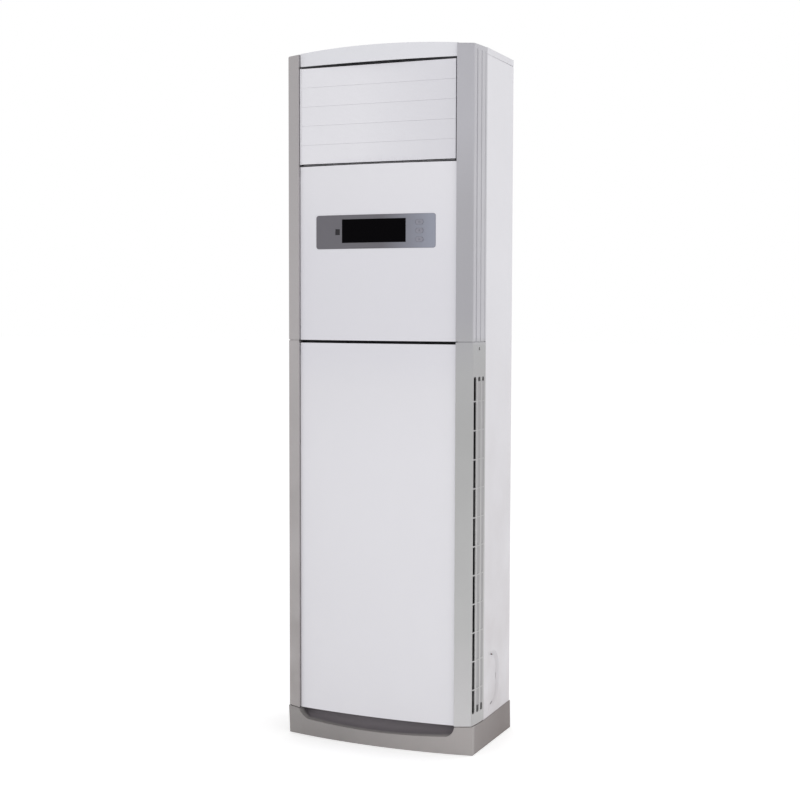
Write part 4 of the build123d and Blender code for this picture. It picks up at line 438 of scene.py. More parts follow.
@dataclass(frozen=True)
class FootFinish(GradedFinish):
    """The plinth's coat: graded across the front, lighter towards the right as painted light, with
    painted shade along its sides and in the recess.
    """

    side_shade_tint: Colour = (112, 103, 101)
    side_start: float = -0.12
    side_blur: float = 10 * MM
    side_reach: float = 200 * MM
    side_shares: tuple[float, float] = (0.45, 0.8)
    hollow_shade_tint: Colour = (110, 105, 109)
    hollow_half: float = 0.2168
    hollow_blur: float = 1 * MM
    hollow_depths: tuple[float, float] = (5 * MM, 14 * MM)
    front_y: float = -0.1498
    bow_radius: float = 1.5

    def base_colour(self, graph: ShaderGraph, patches: object) -> object:
        """Darken the graded coat behind the front and inside the finger recess, as painted shade."""
        colour = super().base_colour(graph, patches)
        across, back = graph.part_of_place(Axis.X), graph.part_of_place(Axis.Y)
        # Painted shade on the sides, growing towards the back.
        face = graph.remap(back, self.side_start, self.side_start + self.side_blur, 0.0, 1.0)
        run = graph.remap(back, self.side_start, self.side_start + self.side_reach, *self.side_shares)
        colour = graph.blend(graph.maths("MULTIPLY", face, run), colour, linear(self.side_shade_tint))
        # Painted shade inside the finger recess, darker the deeper it goes.
        bow = graph.maths("DIVIDE", graph.maths("MULTIPLY", across, across), 2 * self.bow_radius)
        start, end = (self.front_y + depth for depth in self.hollow_depths)
        sunk = graph.remap(graph.maths("SUBTRACT", back, bow), start, end, 0.0, 1.0)
        inside = graph.remap(graph.maths("ABSOLUTE", across), self.hollow_half,
                             self.hollow_half + self.hollow_blur, 1.0, 0.0)
        return graph.blend(graph.maths("MULTIPLY", sunk, inside), colour, linear(self.hollow_shade_tint))


@dataclass(frozen=True)
class SpangledFinish(Finish):
    """Hot-dip zinc, whose crystals differ in shade and gloss."""

    cell_scale: float = 170.0
    cell_contrast: float = 0.07
    grain_share: float = 0.3

    def base_colour(self, graph: ShaderGraph, patches: object) -> object:
        """Shade each crystal on its own."""
        cell = graph.add("ShaderNodeSeparateColor")
        graph.join(graph.cells(self.cell_scale, output="Color"), cell.inputs[0])
        low = tuple(part * (1 - self.cell_contrast) for part in self.tint)
        return graph.blend(cell.outputs[0], linear(self.tint), linear(low))

    def relief(self, graph: ShaderGraph, grain: object) -> object:
        """Give shallow steps between crystals."""
        fine = graph.maths("MULTIPLY", grain, self.grain_share)
        return graph.maths("ADD", graph.cells(self.cell_scale), fine)


@dataclass(frozen=True)
class BeadedFinish(Finish):
    """Expanded foam, whose beads show as shallow cells."""

    bead_scale: float = 260.0
    joint_width: float = 0.12

    def relief(self, graph: ShaderGraph, grain: object) -> object:
        """Give the joints between beads."""
        edge = graph.cells(self.bead_scale, "DISTANCE_TO_EDGE")
        return graph.remap(edge, 0.0, self.joint_width, 0.0, 1.0)


@dataclass(frozen=True)
class DrawnFinish(Finish):
    """Metal with drawing lines and a light tarnish."""

    tarnish: Colour = (110, 70, 50)
    tarnish_share: float = 0.35
    tarnish_scale: float = 18.0
    tarnish_range: tuple[float, float] = (0.45, 0.75)
    stretch: Point = (1.0, 1.0, 0.06)

    def base_colour(self, graph: ShaderGraph, patches: object) -> object:
        """Lay tarnish over the metal in clouds."""
        cloud = graph.remap(graph.noise(self.tarnish_scale, 5.0), *self.tarnish_range,
                            0.0, self.tarnish_share)
        return graph.blend(cloud, linear(self.tint), linear(self.tarnish))

    def relief(self, graph: ShaderGraph, grain: object) -> object:
        """Give lines along the draw."""
        return graph.noise(self.grain_scale, stretch=self.stretch)


class Palette:
    """All finishes, each made once."""

    FINISHES: tuple[Finish, ...] = (
        GradedFinish("panel_white_coat", Slot.PANEL, (226, 225, 230), 0.42, patch_depth=0.012,
                     wear=0.05, dust=0.04, dust_tint=(214, 208, 204), dust_top=0.8),
        Finish("fascia_white_coat", Slot.FASCIA, (222, 222, 227), 0.45, patch_depth=0.012, wear=0.05),
        # The louvres darken towards their right end: painted shade.
        GradedFinish("louver_white_coat", Slot.LOUVER, (226, 225, 230), 0.46, patch_depth=0.012,
                     wear=0.04, start=-0.05, stops=((0.21, (214, 213, 219)),)),
        # The trims' grades along Z, on the flank and on the bevel, are painted light and shade.
        CornerFinish("trim_silver_coat", Slot.TRIM, (181, 180, 180), 0.45, metallic=0.7,
                     patch_depth=0.02, wear=0.15, worn_tint=(206, 206, 210), axis=Axis.Z, start=0.3,
                     stops=((0.9, (172, 171, 172)), (1.02, (176, 176, 177)), (1.04, (193, 192, 197))),
                     bevel_stops=((0.21, (188, 187, 188)), (0.31, (182, 182, 182)),
                                  (0.8, (173, 173, 173)), (0.95, (176, 176, 177)),
                                  (1.1, (173, 172, 177)), (1.35, (177, 176, 181)),
                                  (1.55, (189, 188, 194)))),
        # The plinth's front lightens towards the right: painted light.
        FootFinish("plinth_grey_coat", Slot.PLINTH, (148, 144, 143), 0.55, patch_depth=0.04, wear=0.25,
                   worn_tint=(184, 180, 178), grain_depth=0.00008, start=-0.1,
                   stops=((0.2, (172, 167, 166)),)),
        # The plate's grade, dark on the left and bluish and light on the right, is a painted reflection.
        GradedFinish("plate_silver_coat", Slot.PLATE, (106, 104, 110), 0.42, specular=0.3,
                     patch_depth=0.04, wear=0.08, start=0.02, stops=((0.15, (146, 149, 162)),),
                     brushed=True),
        Finish("window_gloss", Slot.WINDOW, (5, 4, 6), 0.2, specular=0.03, patch_depth=0.1, wear=0.0,
               grain_depth=0.000004),
        Finish("button_grey_coat", Slot.BUTTON, (138, 138, 149), 0.5, patch_depth=0.03, wear=0.05),
        Finish("dark_moulding", Slot.DARK, (38, 38, 41), 0.55, wear=0.12, worn_tint=(80, 80, 84)),
        Finish("duct_moulding", Slot.DUCT, (52, 52, 56), 0.6, wear=0.08, worn_tint=(90, 90, 94)),
        BeadedFinish("liner_foam", Slot.FOAM, (236, 236, 234), 0.8, wear=0.0, grain_depth=0.0004),
        SpangledFinish("zinc_sheet", Slot.GALVANISED, (196, 199, 203), 0.38, metallic=0.55,
                       wear=0.1, grain_depth=0.00003),
        DrawnFinish("fin_foil", Slot.FIN, (205, 208, 212), 0.4, metallic=0.7, wear=0.0,
                    tarnish=(150, 150, 140), tarnish_share=0.25),
        DrawnFinish("copper_tube", Slot.COPPER, (206, 132, 96), 0.3, metallic=0.9, wear=0.1,
                    worn_tint=(240, 180, 150)),
        Finish("pan_moulding", Slot.PAN, (214, 214, 212), 0.5, wear=0.05),
        Finish("hose_rubber", Slot.HOSE, (150, 152, 155), 0.6, wear=0.05),
        DrawnFinish("motor_case", Slot.MOTOR, (150, 152, 156), 0.4, metallic=0.6, wear=0.2,
                    tarnish=(120, 118, 116), stretch=(1.0, 0.06, 1.0)),
        Finish("board_lacquer", Slot.BOARD, (32, 92, 58), 0.35, patch_depth=0.15, wear=0.0, coat=0.3),
        Finish("net_thread", Slot.NET, (58, 60, 64), 0.7, wear=0.0),
        DrawnFinish("screw_zinc", Slot.SCREW, (190, 190, 186), 0.32, metallic=0.85, wear=0.2,
                    tarnish=(140, 136, 120)),
    )

    def __init__(self) -> None:
        """Make every finish."""
        self.made = {finish.slot: finish.material() for finish in self.FINISHES}
        self.finishes = {finish.slot: finish for finish in self.FINISHES}

    def coat(self, slot: Slot) -> bpy.types.Material:
        """Give a slot's material."""
        return self.made[slot]

    def variant(self, slot: Slot, name: str, **changes: object) -> bpy.types.Material:
        """Make a slot's finish under a new name, with some values changed."""
        return replace(self.finishes[slot], name=name, **changes).material()


class Solid:
    """A mesh under construction, in metres."""

    def __init__(self) -> None:
        """Start empty."""
        self.mesh = bmesh.new()

    def block(self, low: Point, high: Point, edge: float = 0.0) -> "Solid":
        """Add a box, its edges rounded if asked.

        Args:
            low: lowest corner.
            high: highest corner.
            edge: radius of its edges.

        Returns:
            This solid.
        """
        made = bmesh.ops.create_cube(self.mesh, size=1.0)["verts"]
        size = [top - bottom for bottom, top in zip(low, high)]
        middle = [(top + bottom) / 2 for bottom, top in zip(low, high)]
        bmesh.ops.scale(self.mesh, vec=size, verts=made)
        bmesh.ops.translate(self.mesh, vec=middle, verts=made)
        if edge > 0:
            edges = list({line for vert in made for line in vert.link_edges})
            bmesh.ops.bevel(self.mesh, geom=edges, offset=edge, segments=2, affect="EDGES",
                            profile=0.5, clamp_overlap=True)
        return self

    def prism(self, outline: Outline, axis: Axis, start: float, end: float) -> "Solid":
        """Draw an outline out along an axis.

        Args:
            outline: points in the plane across the axis, in the order of the other two axes.
            axis: the direction.
            start: where it begins.
            end: where it ends.

        Returns:
            This solid.
        """
        rings = []
        for level in (start, end):
            ring = []
            for first, second in outline:
                spot = [first, second]
                spot.insert(axis.value, level)
                ring.append(self.mesh.verts.new(spot))
            rings.append(ring)
        count = len(outline)
        faces = [self.mesh.faces.new(rings[0]), self.mesh.faces.new(rings[1])]
        for index in range(count):
            after = (index + 1) % count
            faces.append(self.mesh.faces.new((rings[0][index], rings[0][after],
                                              rings[1][after], rings[1][index])))
        bmesh.ops.recalc_face_normals(self.mesh, faces=faces)
        return self

    def lathe(self, profile: Outline, axis: Axis, centre: Point, steps: int = 48) -> "Solid":
        """Turn a profile round an axis.

        Args:
            profile: closed outline as (radius, place along the axis).
            axis: the axis.
            centre: a point on the axis.
            steps: sides of the turned shape.

        Returns:
            This solid.
        """
        others = [index for index in range(3) if index != axis.value]
        rings = []
        for radius, along in profile:
            ring = []
            for step in range(1 if radius < 1e-6 else steps):
                turn = math.tau * step / steps
                spot = list(centre)
                spot[axis.value] = along
                spot[others[0]] += radius * math.cos(turn)
                spot[others[1]] += radius * math.sin(turn)
                ring.append(self.mesh.verts.new(spot))
            rings.append(ring)
        faces = []
        for index, ring in enumerate(rings):
            following = rings[(index + 1) % len(rings)]
            if len(ring) == 1 and len(following) == 1:
                continue
            for step in range(steps):
                after = (step + 1) % steps
                corners = [ring[step % len(ring)], ring[after % len(ring)],
                           following[after % len(following)], following[step % len(following)]]
                unique = list(dict.fromkeys(corners))
                faces.append(self.mesh.faces.new(unique))
        bmesh.ops.recalc_face_normals(self.mesh, faces=faces)
        return self

    def rod(self, radius: float, near: float, far: float, axis: Axis, centre: Point,
            steps: int) -> "Solid":
        """Add a plain rod from near to far along an axis through the centre."""
        return self.lathe([(0.0, near), (radius, near), (radius, far), (0.0, far)], axis, centre, steps)

    def data(self, name: str) -> bpy.types.Mesh:
        """Turn the solid into mesh data with smooth curves and crisp corners.

        Args:
            name: the mesh's name.

        Returns:
            The mesh.
        """
        mesh = bpy.data.meshes.new(name)
        self.mesh.to_mesh(mesh)
        self.mesh.free()
        return smooth(mesh)


class RepeatTree(NodeGraph):
    """A Geometry Nodes tree that repeats a shape, with named sizes and one material."""

    def __init__(self, name: str) -> None:
        """Start a tree with a geometry input and output.

        Args:
            name: the tree's name.
        """
        super().__init__(bpy.data.node_groups.new(name, "GeometryNodeTree"))
        for way in ("INPUT", "OUTPUT"):
            self.tree.interface.new_socket("Geometry", in_out=way, socket_type="NodeSocketGeometry")
        self.start = self.tree.nodes.new("NodeGroupInput")
        self.end = self.tree.nodes.new("NodeGroupOutput")
        self.names: dict[str, str] = {}

    def size(self, label: str, kind: str = "Float") -> bpy.types.NodeSocket:
        """Add a named input.

        Args:
            label: the input's name.
            kind: Float, Int, Vector or Object.

        Returns:
            The output socket that carries its value inside the tree.
        """
        item = self.tree.interface.new_socket(label, in_out="INPUT", socket_type="NodeSocket" + kind)
        self.names[label] = item.identifier
        return self.start.outputs[label]

    def vector(self, x: object = 0.0, y: object = 0.0, z: object = 0.0) -> object:
        """Combine three values or outputs into a vector."""
        return self.add("ShaderNodeCombineXYZ", {0: x, 1: y, 2: z}).outputs[0]

    def copies(self, points: object, shape: object, rotation: object = (0.0, 0.0, 0.0)) -> object:
        """Set a copy of a shape on every point."""
        return self.add("GeometryNodeInstanceOnPoints", {
            "Points": points, "Instance": shape, "Rotation": rotation}).outputs[0]

    def close(self, geometry: object, material: bpy.types.Material) -> None:
        """Realize the instances, set the material and end the tree.

        Args:
            geometry: the geometry that the tree has made.
            material: its material.
        """
        real = self.add("GeometryNodeRealizeInstances", {"Geometry": geometry})
        coated = self.add("GeometryNodeSetMaterial", {"Geometry": real.outputs[0], "Material": material})
        self.join(coated.outputs[0], self.end.inputs[0])

    def grow(self, name: str, seed_mesh: bpy.types.Mesh, sizes: dict[str, object]) -> bpy.types.Mesh:
        """Run the tree once and keep its result as plain mesh data.

        Args:
            name: the new mesh's name.
            seed_mesh: what the tree starts from.
            sizes: a value for each named input.

        Returns:
            The result.
        """
        carrier = add_object(name + "_carrier", seed_mesh)
        modifier = carrier.modifiers.new("repeat", "NODES")
        modifier.node_group = self.tree
        for label, value in sizes.items():
            modifier[self.names[label]] = value
        mesh = modified_mesh(carrier)
        carrier.modifiers.remove(modifier)
        bpy.data.objects.remove(carrier)
        mesh.name = name
        return mesh


class Workshop:
    """Puts finished pieces on the frame and dresses the frame's own nodes."""

    def __init__(self, palette: Palette) -> None:
        """Keep the palette and the frame's nodes."""
        self.palette = palette
        self.nodes: dict[str, bpy.types.Object] = frame["nodes"]

    def piece(self, name: str, shape: Solid | bpy.types.Mesh, slot: Slot, body: str = "cabinet",
              stands_for: Iterable[str] = (), coat: bpy.types.Material | None = None) -> None:
        """Add a piece to the object.

        Args:
            name: the piece's name.
            shape: its shape, already in place.
            slot: the record's slot that it takes its finish from.
            body: the body that it rides on.
            stands_for: CAD nodes that it replaces.
            coat: a finish of its own, if not the slot's.
        """
        mesh = shape.data(name) if isinstance(shape, Solid) else shape
        made = add_object(name, mesh)
        mesh.materials.clear()
        mesh.materials.append(coat or self.palette.coat(slot))
        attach(made, body)
        if stands_for:
            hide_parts(*stands_for)
        LOG.info("%s rides on %s, %d faces", name, body, len(mesh.polygons))

    def dress(self, slot: Slot, *nodes: str, edge: float = 0.0,
              coat: bpy.types.Material | None = None) -> None:
        """Give CAD nodes their finish and softly rounded corners.

        Args:
            slot: the finish.
            *nodes: the nodes' names.
            edge: radius of their corners, none if 0.
            coat: a finish of their own, if not the slot's.
        """
        for node in nodes:
            part = self.nodes[node]
            for held in part.material_slots:
                held.material = coat or self.palette.coat(slot)
            if edge > 0:
                self.round_off(part, edge)
            LOG.info("%s dressed as %s", node, slot.value)

    def round_off(self, part: bpy.types.Object, edge: float) -> None:
        """Round a CAD node's corners.

        Args:
            part: the node's object.
            edge: the radius.
        """
        weld = part.modifiers.new("weld", "WELD")
        weld.merge_threshold = WELD_REACH
        bevel = part.modifiers.new("round", "BEVEL")
        bevel.width = edge
        bevel.segments = 2
        bevel.limit_method = "ANGLE"
        bevel.angle_limit = ROUND_ANGLE
        bevel.use_clamp_overlap = True
        part.modifiers.new("even", "WEIGHTED_NORMAL").keep_sharp = True

    def box(self, node: str) -> tuple[Vector, Vector]:
        """Give a CAD node's lowest and highest corner."""
        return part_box(node)

    def islands(self, node: str) -> list[list[Vector]]:
        """Split a CAD node into its separate solids.

        Args:
            node: the node's name.

        Returns:
            The corner points of each solid.
        """
        copy = bmesh.new()
        copy.from_mesh(self.nodes[node].data)
        bmesh.ops.remove_doubles(copy, verts=copy.verts, dist=WELD_REACH)
        left = set(copy.verts)
        groups = []
        while left:
            queue = [left.pop()]
            group = []
            while queue:
                vert = queue.pop()
                group.append(vert.co.copy())
                for line in vert.link_edges:
                    other = line.other_vert(vert)
                    if other in left:
                        left.remove(other)
                        queue.append(other)
            groups.append(group)
        copy.free()
        return sorted(groups, key=lambda group: (round(group[0].z, 3), round(group[0].x, 3)))


@dataclass
class Studio:
    """Camera, floor, backdrop and lamps."""

    camera_place: Point = (1.53823, -3.47658, 1.11290)
    camera_lens: float = 66.012
    camera_sensor: float = 36.0
    camera_reach: float = 200.0
    camera_yaw: float = 23.841
    camera_pitch: float = 3.616
    camera_roll: float = 0.147
    room_light: float = 0.94
    room_dark: float = 0.65
    room_bright_side: Point = (0.5, 0.866, 0.0)
    floor_glow: float = 0.32
    floor_roughness: float = 0.95
    floor_tints: tuple[Colour, Colour] = ((246, 246, 246), (243, 243, 243))
    floor_half: float = 40.0
    floor_drop: float = 0.4 * MM

    def build(self) -> None:
        """Make the whole studio."""
        self.make_camera()
        self.make_world()
        self.make_floor()
        self.make_lamp("key_softbox", (1.6, -6.0, 3.6), (0.0, 0.0, 0.9), size=3.0, power=109.0)
        self.make_lamp("side_softbox", (2.8, 3.1, 1.7), (0.0, 0.0, 0.8), size=2.6, power=18.5)

    def make_camera(self) -> None:
        """Set the camera at the photograph's viewing angle."""
        yaw, pitch, roll = (math.radians(value) for value in
                            (self.camera_yaw, self.camera_pitch, self.camera_roll))
        ahead = Vector((-math.sin(yaw) * math.cos(pitch), math.cos(yaw) * math.cos(pitch),
                        -math.sin(pitch)))
        level = Vector((math.cos(yaw), math.sin(yaw), 0.0))
        upright = level.cross(ahead)
        across = level * math.cos(roll) + upright * math.sin(roll)
        upward = -level * math.sin(roll) + upright * math.cos(roll)
        data = bpy.data.cameras.new("camera")
        data.lens = self.camera_lens
        data.sensor_width = self.camera_sensor
        data.clip_end = self.camera_reach
        camera = add_object("camera", data)
        turn = Matrix((across, upward, -ahead)).transposed().to_4x4()
        camera.matrix_world = Matrix.Translation(self.camera_place) @ turn
        bpy.context.scene.camera = camera
        bpy.context.scene.view_settings.view_transform = "Standard"

    def make_world(self) -> None:
        """White surroundings, brightest at the back right, and white where the camera sees them."""
        world = bpy.data.worlds.new("studio_world")
        world.use_nodes = True
        bpy.context.scene.world = world
        graph = NodeGraph(world.node_tree)
        seen, mirrored = graph.ray_kinds()
        level = graph.remap(mirrored, 0.0, 1.0, self.room_light, 1.0)
        place = graph.add("ShaderNodeTexCoord").outputs["Generated"]
        towards = graph.add("ShaderNodeVectorMath", {0: place, 1: self.room_bright_side},
                            operation="DOT_PRODUCT")
        side = graph.remap(towards.outputs["Value"], -1.0, 1.0, self.room_dark, 1.0)
        strength = graph.maths("MAXIMUM", graph.maths("MULTIPLY", level, side), seen)
        ground = graph.tree.nodes["Background"]
        graph.join(WHITE, ground.inputs["Color"])
        graph.join(strength, ground.inputs["Strength"])

    def make_floor(self) -> None:
        """A plain pale floor that the camera sees as white, with the object's shadow kept."""
        mesh = bpy.data.meshes.new("studio_floor")
        signs = ((-1, -1), (1, -1), (1, 1), (-1, 1))
        corners = [(x * self.floor_half, y * self.floor_half, -self.floor_drop) for x, y in signs]
        mesh.from_pydata(corners, [], [(0, 1, 2, 3)])
        floor = add_object("studio_floor", mesh)
        graph = ShaderGraph("floor_paper")
        shade = graph.spread(graph.noise(3.0), 0.0, 1.0)
        paper = graph.blend(shade, *(linear(tint) for tint in self.floor_tints))
        for label, value in (("Base Color", paper), ("Roughness", self.floor_roughness),
                             ("Specular IOR Level", 0.0)):
            graph.join(value, graph.shader.inputs[label])
        glow = graph.add("ShaderNodeEmission", {"Color": WHITE, "Strength": self.floor_glow})
        plain = graph.shader.outputs[0]
        both = graph.add("ShaderNodeAddShader", {0: plain, 1: glow.outputs[0]})
        seen, mirrored = graph.ray_kinds()
        pick = graph.add("ShaderNodeMixShader", {
            0: graph.maths("MAXIMUM", seen, mirrored), 1: plain, 2: both.outputs[0]})
        graph.join(pick.outputs[0], graph.tree.nodes["Material Output"].inputs["Surface"])
        mesh.materials.append(graph.material)

    def make_lamp(self, name: str, place: Point, aim: Point, size: float, power: float) -> None:
        """Add a square softbox that gives soft light but no mirror image of itself.

        Args:
            name: the lamp's name.
            place: where it stands.
            aim: what it points at.
            size: its side in metres.
            power: its power in watts.
        """
        data = bpy.data.lights.new(name, "AREA")
        data.size = size
        data.energy = power
        lamp = add_object(name, data)
        lamp.location = place
        lamp.visible_glossy = False
        lamp.visible_camera = False
        lamp.rotation_euler = (Vector(aim) - Vector(place)).to_track_quat("-Z", "Y").to_euler()


@dataclass
class Casing:
    """Plinth, trims, panels and covers: the CAD shapes with finishes and rounded corners."""

    shop: Workshop
    panel_edge: float = 0.9 * MM
    trim_edge: float = 0.15 * MM
    plinth_edge: float = 1.0 * MM
    side_edge: float = 0.2 * MM
    flank_start: float = -130.1 * MM
    flank_bulge: float = 5.5 * MM
    side_taper: float = 5.2 * MM
    seal_front_inset: float = 0.3 * MM
    seal_back_inset: float = 1.5 * MM
    seal_width: float = 4.0 * MM
    seal_gap: float = 0.15 * MM
    seal_ends: tuple[float, float] = (1 * MM, 2 * MM)
    felt_inner: float = 214.6 * MM
    felt_wall: float = 0.6 * MM
    felt_front: float = -139.5 * MM
    felt_depth: float = 4.0 * MM
    felt_foot_gap: float = 2.0 * MM
    felt_end_gap: float = 26.0 * MM
    felt_edge: float = 0.1 * MM
    slat_columns: tuple[float, ...] = (-96.9 * MM, -73.9 * MM)
    slat_back_depth: float = 0.5 * MM
    slat_front_depth: float = 3.2 * MM
    slat_back_gap: float = 0.2 * MM
    slat_front_gap: float = 2.5 * MM
    slat_wall: float = 0.8 * MM
    slat_foot: float = 122.0 * MM
    slat_head: float = 932.0 * MM
    slot_half: float = 6.5 * MM

    def build(self) -> None:
        """Dress every outer node."""
        variant, dress = self.shop.palette.variant, self.shop.dress
        dress(Slot.PLINTH, "base_plinth", edge=self.plinth_edge)
        self.dress_front()
        # The side panels darken towards the floor and in the knock-out's creases, both painted shade.
        dusty = variant(Slot.PANEL, "side_white_shaded_coat", dust=0.6, dust_top=1.2,
                        dust_tint=(181, 173, 173), crease=1.0, crease_reach=12 * MM)
        dress(Slot.PANEL, "left_side_panel", "right_side_panel", edge=self.side_edge, coat=dusty)
        lid = variant(Slot.PANEL, "cover_white_coat", tint=(222, 221, 226))
        dress(Slot.PANEL, "top_cover", edge=SOFT_EDGE, coat=lid)
        dress(Slot.FASCIA, "top_fascia", edge=self.panel_edge)
        # The left trims' own copy of the trim coat: a flat tint for their less lit side and a warm
        # darkening towards the floor, both painted shade.
        shaded = variant(Slot.TRIM, "left_trim_shaded_coat", tint=(184, 180, 181), stops=(),
                         bevel_tint=(184, 180, 181), bevel_stops=(), dust=0.6,
                         dust_tint=(115, 108, 103), dust_top=1.2)
        for side, coat in (("left", shaded), ("right", None)):
            dress(Slot.TRIM, f"{side}_trim_upper", f"{side}_trim_lower", edge=self.trim_edge, coat=coat)
            self.build_slats(side)
            self.build_felt(side)
            self.build_seal(side)
        dress(Slot.GALVANISED, "rear_panel", "wall_bracket", edge=SHEET_EDGE)
        dress(Slot.DARK, "cross_rail", edge=SHEET_EDGE)

    def dress_front(self) -> None:
        """Coat the two front panels, with painted shade darkening each towards the joint between them."""
        variant = self.shop.palette.variant
        upper = variant(Slot.PANEL, "middle_white_shaded_coat", axis=Axis.Z, start=1.06, tint=(219, 218, 224),
                        stops=((1.25, (220, 219, 225)), (1.42, (224, 223, 228))))
        lower = variant(Slot.PANEL, "lower_white_shaded_coat", axis=Axis.Z, start=0.72,
                        stops=((0.9, (223, 222, 227)), (0.99, (219, 218, 224))))
        self.shop.dress(Slot.PANEL, "mid_front_panel", edge=self.panel_edge, coat=upper)
        self.shop.dress(Slot.PANEL, "lower_front_panel", edge=self.panel_edge, coat=lower)

    def add_strip(self, name: str, coat_name: str, solid: Solid, slot: Slot, **changes: object) -> None:
        """Add a thin strip with a coat of its own, made from the slot's with some changes."""
        self.shop.piece(name, solid, slot, coat=self.shop.palette.variant(slot, coat_name, **changes))

    def build_felt(self, side: str) -> None:
        """Glue a felt strip on the trims beside the front panels, in the joint between them.

        Args:
            side: left or right.
        """
        faces = (self.felt_inner, self.felt_inner + self.felt_wall)
        near, far = sorted(mirror_sign(side) * face for face in faces)
        solid = Solid()
        for panel in ("lower_front_panel", "mid_front_panel"):
            low, high = self.shop.box(panel)
            solid.block((near, self.felt_front, low.z + self.felt_foot_gap),
                        (far, self.felt_front + self.felt_depth, high.z - self.felt_end_gap),
                        self.felt_edge)
        # The felt lies in front of the trim bevel's back edge, so it takes the bevel's grade, painted
        # light and shade, and not its own tint.
        self.add_strip(f"{side}_felt_strip", f"{side}_felt_coat", solid, Slot.TRIM, metallic=0.0,
                       roughness=0.9, tint=(196, 195, 198), stops=(), wear=0.0)

    def build_seal(self, side: str) -> None:
        """Lay a foam seal in the joint under the top cover, deeper towards the back.

        Args:
            side: left or right.
        """
        panel_low, panel_high = self.shop.box(f"{side}_side_panel")
        cover_low, _ = self.shop.box("top_cover")
        turn = mirror_sign(side)
        front_x = max(abs(panel_low.x), abs(panel_high.x))
        back_x = front_x - self.side_taper
        front_y, back_y = panel_low.y + self.seal_ends[0], panel_high.y - self.seal_ends[1]
        outline = [(turn * (front_x - self.seal_front_inset), front_y),
                   (turn * (back_x - self.seal_back_inset), back_y),
                   (turn * (back_x - self.seal_width), back_y),
                   (turn * (front_x - self.seal_width), front_y)]
        solid = Solid().prism(outline, Axis.Z, panel_high.z + self.seal_gap, cover_low.z - self.seal_gap)
        self.add_strip(f"{side}_cover_seal", f"{side}_seal_coat", solid, Slot.PANEL, roughness=0.9,
                       wear=0.0, tint=(214, 213, 217), dust=0.0)

    def flank_x(self, y: float) -> float:
        """Give the trims' outer face at a depth, between their front corner and their back edge."""
        low, high = self.shop.box("right_trim_lower")
        share = min(1.0, (y - self.flank_start) / (high.y - self.flank_start))
        return high.x - self.flank_bulge * (1 - share) ** 2

    def build_slats(self, side: str) -> None:
        """Set the slanted slats behind the grille's second and third columns.

        Args:
            side: left or right.
        """
        turn = mirror_sign(side)
        solid = Solid()
        for middle in self.slat_columns:
            back = middle + self.slot_half - self.slat_back_gap
            front = middle - self.slot_half + self.slat_front_gap
            high = self.flank_x(back) - self.slat_back_depth
            low = self.flank_x(front) - self.slat_front_depth
            outline = [(turn * high, back), (turn * low, front), (turn * (low - self.slat_wall), front),
                       (turn * (high - self.slat_wall), back)]
            solid.prism(outline, Axis.Z, self.slat_foot, self.slat_head)
        self.add_strip(f"{side}_grille_slats", f"{side}_slat_coat", solid, Slot.TRIM, metallic=0.0,
                       tint=(168, 166, 168), stops=())


